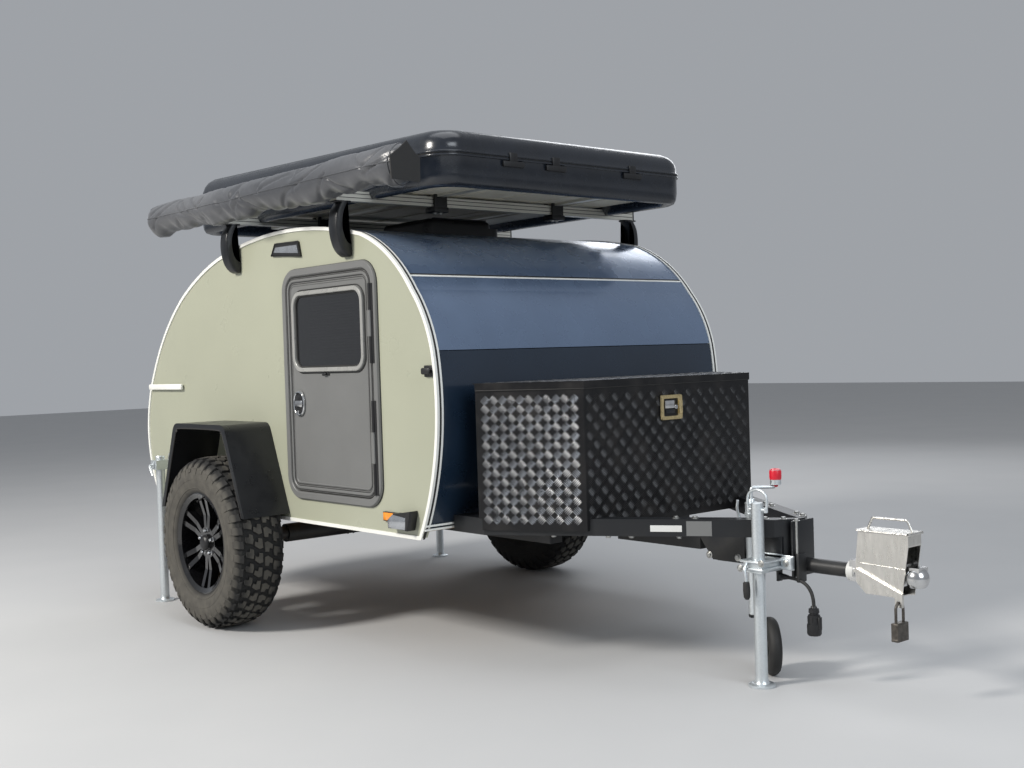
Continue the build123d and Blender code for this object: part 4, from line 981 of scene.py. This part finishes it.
def make_tent():
    base = Batch().loft([[(x, y, z) for x, y in tent_plan(inset)] for inset, z in TENT_BASE])
    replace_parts(base.make("tent_base_shell", "tent_shell", smooth=50), "roof_tent_base")
    loops = []
    for inset, part in TENT_LID:
        loops.append([(x, y, TENT_JOINT + part * (tent_top(x) - TENT_JOINT)) for x, y in tent_plan(inset)])
    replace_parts(Batch().loft(loops).make("tent_lid_shell", "tent_shell", smooth=50), "roof_tent_lid")
    ribs = Batch().plate(SIDE_RIB, -400, -300, 8).plate(SIDE_RIB, 480, 560, 8).plate(MIDDLE_RIB, -60, 140, 8)
    for x in (-420, -90, 240, 570, 900):
        for low, high in ((-681, -640), (640, 681)):
            ribs.box(x, x + 90, low, high, 1925, 1962, 9)
    ribs.make("tent_lid_ribs", "tent_shell")
    rims = Batch()
    plan = rounded(TENT_MIDDLE_X, 0, TENT_LONG + 3, TENT_WIDE + 3, TENT_CORNER, 12)
    for z in (1896, 1909):
        rims.tube([(x, y, z) for x, y in plan], 4.5, 10, closed=True)
    rims.make("tent_rims", "tent_shell")
    plan = rounded(TENT_MIDDLE_X, 0, TENT_LONG - 2, TENT_WIDE - 2, TENT_CORNER, 10)
    Batch().tube([(x, y, 1902.5) for x, y in plan], 3, 8, closed=True).make("tent_seal", "black_rubber")
    latches = Batch()
    for y in (-330, -106, 330):
        latches.box(1345, 1357, y - 54, y + 54, 1866, 1889, 4).box(1346, 1356, y - 20, y + 20, 1886, 1922, 4)
    for x in (-300, 900):
        for low, high in ((-692, -680), (680, 692)):
            latches.box(x - 45, x + 45, low, high, 1868, 1890, 4)
            latches.box(x - 16, x + 16, low, high, 1886, 1920, 4)
    latches.make("tent_latches", "black_plastic")
    rivets = Batch()
    for y in (-350, -227, 17, 140, 263, 386):
        rivets.turned((1333, y, 1934), (1345, y, 1928), [(0, 5.5), (3, 5.5), (5, 3.5), (5.5, 1)], 12)
    rivets.make("tent_rivets", "pin_bolt")
    panel = Batch().box(-440, 1120, -640, 640, 1817.5, 1821.5, 2)
    for y in (-430, -215, 0, 215, 430):
        panel.box(-430, 1110, y - 14, y + 14, 1815, 1818, 1.2)
    panel.make("tent_floor_panel", "pale_panel", slot="bar_aluminium")


make_tent()


# Roof bars: clamps that hold the tent, feet, end caps and grooves; vent ribs
FOOT_OUTER = [
    (812, 1767), (838, 1726), (846, 1672), (841, 1622), (826, 1580), (804, 1556), (784, 1548), (775, 1553),
]
FOOT_INNER = [(775, 1602), (792, 1610), (805, 1634), (811, 1672), (804, 1722), (778, 1767)]


def make_bars():
    clamps, bolts, feet, caps, lines = Batch(), Batch(), Batch(), Batch(), Batch()
    line = [(p.x, p.y) for part in (FOOT_OUTER, FOOT_INNER) for p in smooth_line([(*p, 0) for p in part], 5)]
    swap = Matrix(((0, 1, 0, 0), (1, 0, 0, 0), (0, 0, 1, 0), (0, 0, 0, 1)))
    for x in BAR_X:
        for y in (-330, 330):
            clamps.box(x - 34, x + 34, y - 38, y + 38, 1744, 1766, 5)
            clamps.box(x + 17, x + 30, y - 33, y + 33, 1748, 1822, 4)
            clamps.box(x - 30, x - 17, y - 33, y + 33, 1748, 1822, 4)
            for dy in (-12, 16):
                bolts.bolt((x, y + dy, 1744), (x, y + dy, 1800), 7)
        clamps.box(x - 18, x + 18, 826, 832, BAR_LOW, BAR_LOW + 41, 2)
        for sign in (-1, 1):
            for dx in (-14, 14):
                bolts.bolt((x + dx, sign * 797, BAR_LOW - 6), (x + dx, sign * 797, BAR_LOW + 20), 6)
                bolts.bolt((x + dx, sign * (BODY_HALF + 6), 1572), (x + dx, sign * BODY_HALF, 1572), 7)
        feet.plate(line, x - 30, x + 30, 7, swap).box(x - 24, x + 24, 770, 838, 1760, 1767, 2)
        caps.box(x - 17.5, x + 17.5, 822, 828.5, BAR_LOW - 0.5, BAR_LOW + 40.5, 2)
        for dz in (12, 28):
            lines.box(x + 16.6, x + 17.8, -820, 820, BAR_LOW + dz, BAR_LOW + dz + 2.5, 0)
    clamps.make("tent_clamps", "black_plastic")
    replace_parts(feet.make("bar_feet", "black_steel", both=True, smooth=50), "roof_bar_feet")
    caps.sides("bar_caps", "black_plastic")
    bolts.make("roof_bolts", "pin_bolt")
    lines.make("bar_grooves", "black_rubber")
    vent = Batch()
    for i in range(9):
        x = 262 + i * 40
        vent.box(x, x + 18, -150, 150, 1758, 1763, 2.2)
    vent.make("vent_ribs", "vent_plastic")


make_bars()


# Awning bag: a rolled load in a cover that sags and folds
AWNING_REAR, AWNING_FRONT = -590, 1425
AWNING_MIDDLE_Y, AWNING_MIDDLE_Z = -902, 1830
AWNING_LOW, AWNING_HIGH = 1752, 1908
AWNING_SIDES = 72
OUTER_MIDDLE = AWNING_SIDES // 2


def awning_ring(t):
    """The cover's outline at a part of its length, with its folds and its sag."""
    length = AWNING_FRONT - AWNING_REAR
    x = AWNING_REAR + length * t
    end = min(t, 1 - t) * length
    close = min(1.0, (end / 60) ** 0.5) if end < 60 else 1.0
    ring = []
    for k in range(AWNING_SIDES):
        a = 2 * math.pi * k / AWNING_SIDES
        across, upward = math.cos(a), math.sin(a)
        power_y, power_z = (1.25, 1.15) if across < 0 else (0.8, 0.9)
        y = math.copysign(abs(across) ** power_y, across) * 63
        z = math.copysign(abs(upward) ** power_z, upward) * 71
        lower = max(0.0, -upward)
        outer = max(0.0, -across)
        big = noise.noise(Vector((x * 0.0042, a * 0.55, 3.1)))
        lean = x * 0.0075 + z * 0.011 * (1 if noise.noise(Vector((x * 0.004, 0, 5))) > 0 else -1)
        fold = noise.noise(Vector((lean, a * 0.35, 9.7)))
        crease = max(0.0, 1 - abs(fold) * 7) ** 1.3
        fine = noise.noise(Vector((x * 0.05 + z * 0.03, a * 3.0, 1.3)))
        swell = 1 + 0.09 * big - 0.16 * crease * (0.3 + 0.7 * outer) + 0.014 * fine
        sag = (9 * math.sin(x * 0.009 + 0.6) + 7 * math.sin(x * 0.023 + 1) + 4 * math.sin(x * 0.061)) * lower
        slant = (34 if t < 0.5 else -6) * (1 - upward) * max(0.0, 1 - end / 50)
        height = AWNING_MIDDLE_Z + z * swell * (0.80 + 0.20 * close) - sag + 3
        side = AWNING_MIDDLE_Y + y * swell * (0.55 + 0.45 * close)
        ring.append(Vector((x + slant, side, min(max(height, AWNING_LOW), AWNING_HIGH))))
    return ring


def make_awning():
    count = 220 if FULL else 140
    rings = [awning_ring(i / count) for i in range(count + 1)]
    cover = Batch().loft(rings).make("awning_cover", "awning_vinyl", smooth=60)
    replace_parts(cover, "awning_bag")
    piping = Batch().tube([ring[OUTER_MIDDLE] + Vector((0, -0.6, 0)) for ring in rings[2:count - 1]], 2.4, 8)
    for i in (3, count - 3):
        piping.tube(rings[i], 3.0, 8, closed=True)
    piping.make("awning_piping", "awning_vinyl")
    flap = [(-962, 1770), (-838, 1764), (-836, 1850), (-862, 1872), (-893, 1908), (-924, 1880), (-966, 1850)]
    Batch().loft([[(x, y, z) for y, z in flap] for x in (1424, 1430)]).make("awning_end_flap", "black_rubber")


make_awning()


# Stands and jockey wheel
PROP = (2338, -153)
LEG_X, LEG_Y = -750, 847
JOCKEY = (2234, -52)
JOCKEY_AXLE = Vector((0.652, 0.757, 0)).normalized()
JOCKEY_OFFSET, JOCKEY_RADIUS = 55, 100
JOCKEY_TYRE = [
    (0, 12), (0, 26), (4, 30), (9, 32), (9, 62), (3, 66), (1.5, 80), (4, 90), (12, 98), (20, 100.4), (28, 100.4),
    (36, 98), (44, 90), (46.5, 80), (45, 66), (39, 62), (39, 32), (44, 30), (48, 26), (48, 12),
]
JOCKEY_HUB = [
    (0, 9), (3, 11), (6, 18), (12, 20), (12, 60), (16, 61), (36, 61), (40, 60), (40, 20), (46, 18), (49, 11),
    (52, 9),
]
GRIP = [(0, 7), (6, 9), (10, 14), (14, 15), (22, 15.5), (26, 20), (34, 21), (54, 21), (61, 18), (64, 9)]


def upright(batch, x, y, z, profile, sides=28):
    """A turned shape that stands on a height z."""
    return batch.turned((x, y, z), (x, y, z + 1), profile, sides)


def make_stands():
    x, y = PROP
    arch = [(-36, 590), (-40, 625), (-32, 652), (0, 664), (32, 652), (40, 625), (36, 590)]
    handle = Batch().tube(smooth_line([(x + dx, y, z) for dx, z in arch]), 4.5, 12)
    for dx in (-36, 36):
        handle.rod((x + dx, y, 588), (x + dx, y, 606), 7)
        handle.rod((x + min(dx, 0), y, 597), (x + max(dx, 0), y, 597), 6)
    upright(handle, x, y, 616, [(0, 21.5), (2, 21.5), (4, 19)]).make("prop_handle", "galvanised", "prop_stand")
    cup = [(0, 46), (4, 46), (7, 43), (9, 27), (14, 24), (22, 22.2), (28, 21.6)]
    upright(Batch(), x, y, 2, cup, 36).make("prop_foot_cup", "galvanised", "prop_stand")
    cup = [(0, 44.5), (4, 44.5), (7, 41), (9, 26), (14, 23), (28, 21.6)]
    for side, name in ((1, "left"), (-1, "right")):
        foot = upright(Batch(), LEG_X, side * LEG_Y, 2, cup, 36)
        upright(foot, LEG_X, side * LEG_Y, 702, [(0, 21.5), (4, 23), (8, 21), (9, 8)])
        foot.make("leg_foot_" + name, "galvanised", "leg_" + name)
    clamp = Batch().box(2262, 2296, -90, -68, 392, 434, 3).box(2380, 2422, -90, -68, 392, 434, 3)
    clamp.box(2262, 2422, -76, -67, 388, 438, 3)
    for z in (396, 420):
        clamp.box(2290, 2386, -196, -187, z, z + 8, 3)
        for x in (2294, 2382):
            clamp.rod((x, -192, z + 4), (x, -80, z + 4), 5)
    clamp.make("prop_clamp_plates", "galvanised")
    Batch().box(2298, 2378, -78.5, -66, 440, 498.5, 1.5).make("prop_clamp_backing", "chassis")
    nuts = Batch()
    for x, y, z in ((2278, -90, 413), (2402, -90, 413), (2294, -197, 400), (2382, -197, 424)):
        nuts.bolt((x, y, z), (x, y + 30, z), 8)
    nuts.make("prop_clamp_bolts", "pin_bolt")
    lever = smooth_line([(2318, -190, 424), (2320, -206, 400), (2326, -208, 372), (2328, -208, 340)])
    Batch().tube(lever, 5, 12).make("prop_clamp_lever", "galvanised")
    profile = [(0, 7), (4, 11), (30, 12.5), (52, 11), (60, 6)]
    grip = Batch().turned((2327, -208, 360), (2329, -208, 300), profile, 20)
    grip.make("prop_clamp_grip", "black_rubber")
    for side, name in ((1, "left"), (-1, "right")):
        low, high = sorted((side * 868, side * 890))
        pad = Batch().box(-766, -734, low, high, 652, 684, 4)
        handle = ((-750, 885, 668), (-750, 902, 664), (-728, 906, 640), (-712, 906, 620))
        pad.tube(smooth_line([(x, side * y, z) for x, y, z in handle]), 5, 12)
        pad.make("leg_clamp_" + name, "galvanised")
    plates = Batch()
    for z in (640, 695):
        for x in (-783, -717):
            plates.bolt((x, 782, z), (x, 770, z), 7)
    plates.sides("leg_bracket_bolts", "pin_bolt")
    upright(Batch(), 2290, 13, 656, GRIP).make("jockey_grip", "red_grip", slot="black_plastic")
    x, y = JOCKEY
    top = upright(Batch(), x, y, 600, [(0, 23.4), (2, 24), (5, 22), (8, 13), (16, 11), (18, 7)])
    upright(top, x, y, 560, [(0, 22.5), (1, 25), (8, 25), (9, 22.5), (0, 22.5)])
    top.tube(smooth_line([(2210, -52, 520), (2196, -66, 540), (2192, -78, 580), (2196, -80, 612)]), 5, 10)
    top.box(2190, 2204, -92, -60, 512, 532, 3).make("jockey_fittings", "galvanised")
    centre = Vector((x, y, JOCKEY_RADIUS)) + JOCKEY_AXLE * JOCKEY_OFFSET
    tyre = Batch().turned(centre - JOCKEY_AXLE * 24, centre + JOCKEY_AXLE * 24, JOCKEY_TYRE, 48)
    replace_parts(tyre.make("jockey_tyre", "black_rubber", "jockey_wheel"), "jockey_wheel")
    hub = Batch().turned(centre - JOCKEY_AXLE * 26, centre + JOCKEY_AXLE * 26, JOCKEY_HUB, 32)
    hub.make("jockey_hub", "pale_plastic", "jockey_wheel", slot="galvanised")


make_stands()


# Drawbar and coupling fittings
ARM_SLOPE = 0.657
LABELS = (
    ("drawbar_label_pale", "pale_plastic", (2006, 514), (2098, 514), (2098, 536), (2006, 536)),
    ("drawbar_label_dark", "door_paint", (2111, 500), (2184, 500), (2184, 551), (2111, 551)),
)


def make_drawbar():
    plate = Batch().box(2402, 2411, -60, 60, 362, 552, 2).box(2425, 2437, -66, -22, 348, 446, 3)
    plate.make("drawbar_end_plate", "chassis")
    rod = Batch().rod((2427, -60, 444), (2427, -60, 556), 4).bolt((2427, -60, 556), (2427, -60, 500), 8)
    for x, y in ((2116, -214), (2060, -250), (2320, -88), (2370, -54)):
        for side in (y, -y):
            rod.bolt((x, side, ARM_TOP), (x, side, ARM_TOP - 37), 9)
    for x, z in ((2030, 400), (2160, 402.6)):
        for side in (-1, 1):
            rod.bolt((x, side * 43, z), (x, side * 20, 400), 9)
    rod.make("drawbar_bolts", "pin_bolt")
    collar = Batch().turned((2596, 0, 400), (2626, 0, 400), [(0, 26), (2, 35), (26, 35), (30, 30)], 32)
    collar.make("coupling_collar", "pale_plastic", slot="galvanised")
    out = Vector((ARM_SLOPE, 1, 0)).normalized()
    for name, material, *corners in LABELS:
        loops = []
        for lift in (-1, 1.2):
            line = [Vector((x, 440 - (x - 1830) * ARM_SLOPE, z)) + out * lift for x, z in corners]
            loops.append([(p.x, -p.y, p.z) for p in line])
        Batch().loft(loops).make(name, material, slot="galvanised")
    lever = smooth_line([(2690, 0, 436), (2660, 0, 450), (2640, 0, 452)])
    Batch().tube(lever, 9, 14).make("coupling_lever", "bright_steel")
    hinge = Batch().rod((2834, -42, 540), (2834, 42, 540), 5)
    fold = Batch()
    for side in (-1, 1):
        hinge.rod((2651, side * 44, 541), (2832, side * 44, 541), 2.5)
        fold.rod((2655, side * 38.5, 436), (2820, side * 38.5, 430), 1.6)
    hinge.make("lock_box_hinge", "stainless")
    fold.make("lock_box_folds", "stainless")
    case = Batch().turned((2787, -43, 234), (2783, -43, 234), [(0, 12), (1.5, 12), (2.5, 10)], 24)
    case.box(2786, 2812, -74, -12, 204, 214, 3).box(2786, 2812, -74, -12, 252, 263, 3)
    case.make("padlock_bands", "padlock", slot="brass_lock")


make_drawbar()


# Fender edges, axle bolts and the galley
FENDER_EDGE = [
    (-382, 504), (-252, 820), (-228, 852), (-190, 866), (150, 866), (186, 852), (211, 820), (343, 504),
]


def make_underside():
    edge = Batch().tube(smooth_line([(x, 1003, z) for x, z in FENDER_EDGE], 10), 3.2, 8)
    edge.sides("fender_edges", "black_rubber")
    bolts = Batch()
    for k in range(5):
        a = math.radians(72 * k)
        x, z = 80 * math.cos(a), WHEEL_Z + 80 * math.sin(a)
        bolts.bolt((x, 790, z), (x, 800, z), 7)
    for x in (-20, 60, 190):
        bolts.bolt((x, 777, 390), (x, 760, 390), 9)
    bolts.sides("axle_bolts", "pin_bolt")
    hanger = Batch()
    for y in (345, 375):
        hanger.plate([(110, 438), (230, 438), (214, 380), (170, 352), (126, 380)], y - 4, y + 4, 2)
    hanger.sides("axle_hangers", "chassis")
    galley = Batch().tube([(-886, -744, 953), (-886, 744, 953)], 13, 14)
    for y in (-250, 250):
        galley.box(-870, -345, y - 9, y + 9, 531, 940, 2)
    galley.box(-372, -342, -744, 744, 1240, 1256, 2).make("galley_fittings", "plywood")


make_underside()


# Mattress: two pads, blown up as cloth
MATTRESS_REAR, MATTRESS_LONG = -310, 1532
PAD_LOW, PAD_THICK = 534, 96
CLOTH_STEPS = 14
LARGEST_MOVE = 0.016


def flatten(piece):
    """Apply every modifier on a piece to its mesh."""
    shaped = bpy.data.meshes.new_from_object(piece.evaluated_get(bpy.context.evaluated_depsgraph_get()))
    piece.modifiers.clear()
    piece.data = shaped


def make_mattress():
    for name, y0, y1 in (("right", -737, -3), ("left", 3, 737)):
        bm = bmesh.new()
        bmesh.ops.create_cube(bm, size=1)
        for v in bm.verts:
            x, y, z = (c + 0.5 for c in v.co)
            v.co = at(MATTRESS_REAR + x * MATTRESS_LONG, y0 + 8 + y * (y1 - y0 - 16), PAD_LOW + z * PAD_THICK)
        bmesh.ops.bevel(bm, geom=bm.edges[:], offset=0.022, segments=3, profile=0.5, affect="EDGES")
        mesh = bpy.data.meshes.new("mattress_pad_" + name)
        bm.to_mesh(mesh)
        bm.free()
        pad = bpy.data.objects.new("mattress_pad_" + name, mesh)
        bpy.context.scene.collection.objects.link(pad)
        bpy.context.view_layer.objects.active = pad
        remesh = pad.modifiers.new("remesh", "REMESH")
        remesh.mode = "VOXEL"
        remesh.voxel_size = 0.022
        flatten(pad)
        if FULL:
            cloth = pad.modifiers.new("cloth", "CLOTH")
            cloth.settings.quality = 4
            cloth.settings.mass = 0.4
            cloth.settings.tension_stiffness = 25
            cloth.settings.compression_stiffness = 25
            cloth.settings.use_pressure = True
            cloth.settings.uniform_pressure_force = 4
            cloth.settings.effector_weights.gravity = 0
            start = [v.co.copy() for v in pad.data.vertices]
            for step in range(1, CLOTH_STEPS + 1):
                bpy.context.scene.frame_set(step)
            flatten(pad)
            bpy.context.scene.frame_set(1)
            for v, old in zip(pad.data.vertices, start):
                move = v.co - old
                if move.length > LARGEST_MOVE:
                    v.co = old + move.normalized() * LARGEST_MOVE
                v.co.z = max(v.co.z, 0.531)
        smooth = pad.modifiers.new("smooth", "SUBSURF")
        smooth.levels = 1
        flatten(pad)
        pad.data.polygons.foreach_set("use_smooth", [True] * len(pad.data.polygons))
        pad.data.materials.append(MAT["cushion"])
        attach(pad, "chassis")
        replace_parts(pad, "mattress")
        piping = Batch()
        for z in (556, 626):
            outline = rounded(456, (y0 + y1) / 2, 1538, y1 - y0 - 8, 26, 5)
            piping.tube([(x, y, z) for x, y in outline], 3.4, 8, closed=True)
        piping.make("mattress_piping_" + name, "blind", slot="cushion")


make_mattress()


# Floor and lights: each lamp's place, aim, size, power and colour
LAMPS = {
    "key": ((-1.5, -7.5, 5.5), (0, 0, 0.8), 1.6, 800, (1.0, 0.96, 0.9)),
    "front": ((7.5, -1.5, 4.5), (0.6, 0, 0.9), 4.0, 260, (0.88, 0.94, 1.0)),
    "back": ((-4.0, 7.0, 5.0), (0, 0, 0.9), 4.0, 130, (0.95, 0.97, 1.0)),
    "top": ((0.0, 0.0, 8.0), (0, 0, 0), 6.0, 170, (0.95, 0.97, 1.0)),
}


def make_stage():
    bpy.ops.mesh.primitive_plane_add(size=60, location=(0, 0, 0))
    floor = bpy.context.object
    floor.name = "floor"
    ground = Shader("floor", Roughness=0.75)
    ground.put(Base_Color=ground.mix(ground.noise(1.5, 6.0), (0.44, 0.445, 0.45), (0.49, 0.49, 0.49)))
    ground.bump(ground.noise(60, 6.0), 0.1, 0.001)
    floor.data.materials.append(ground.mat)
    world = bpy.data.worlds.new("world")
    bpy.context.scene.world = world
    world.use_nodes = True
    back = world.node_tree.nodes["Background"]
    back.inputs["Color"].default_value = (0.82, 0.86, 0.92, 1)
    back.inputs["Strength"].default_value = 0.42
    for name, (place, aim, size, power, color) in LAMPS.items():
        light = bpy.data.lights.new(name, "AREA")
        light.shape = "SQUARE"
        light.size = size
        light.energy = power
        light.color = color
        lamp = bpy.data.objects.new(name, light)
        lamp.location = place
        lamp.rotation_euler = (Vector(aim) - Vector(place)).to_track_quat("-Z", "Y").to_euler()
        bpy.context.scene.collection.objects.link(lamp)
    bpy.context.scene.view_settings.view_transform = "Standard"


make_stage()

bpy.context.view_layer.update()
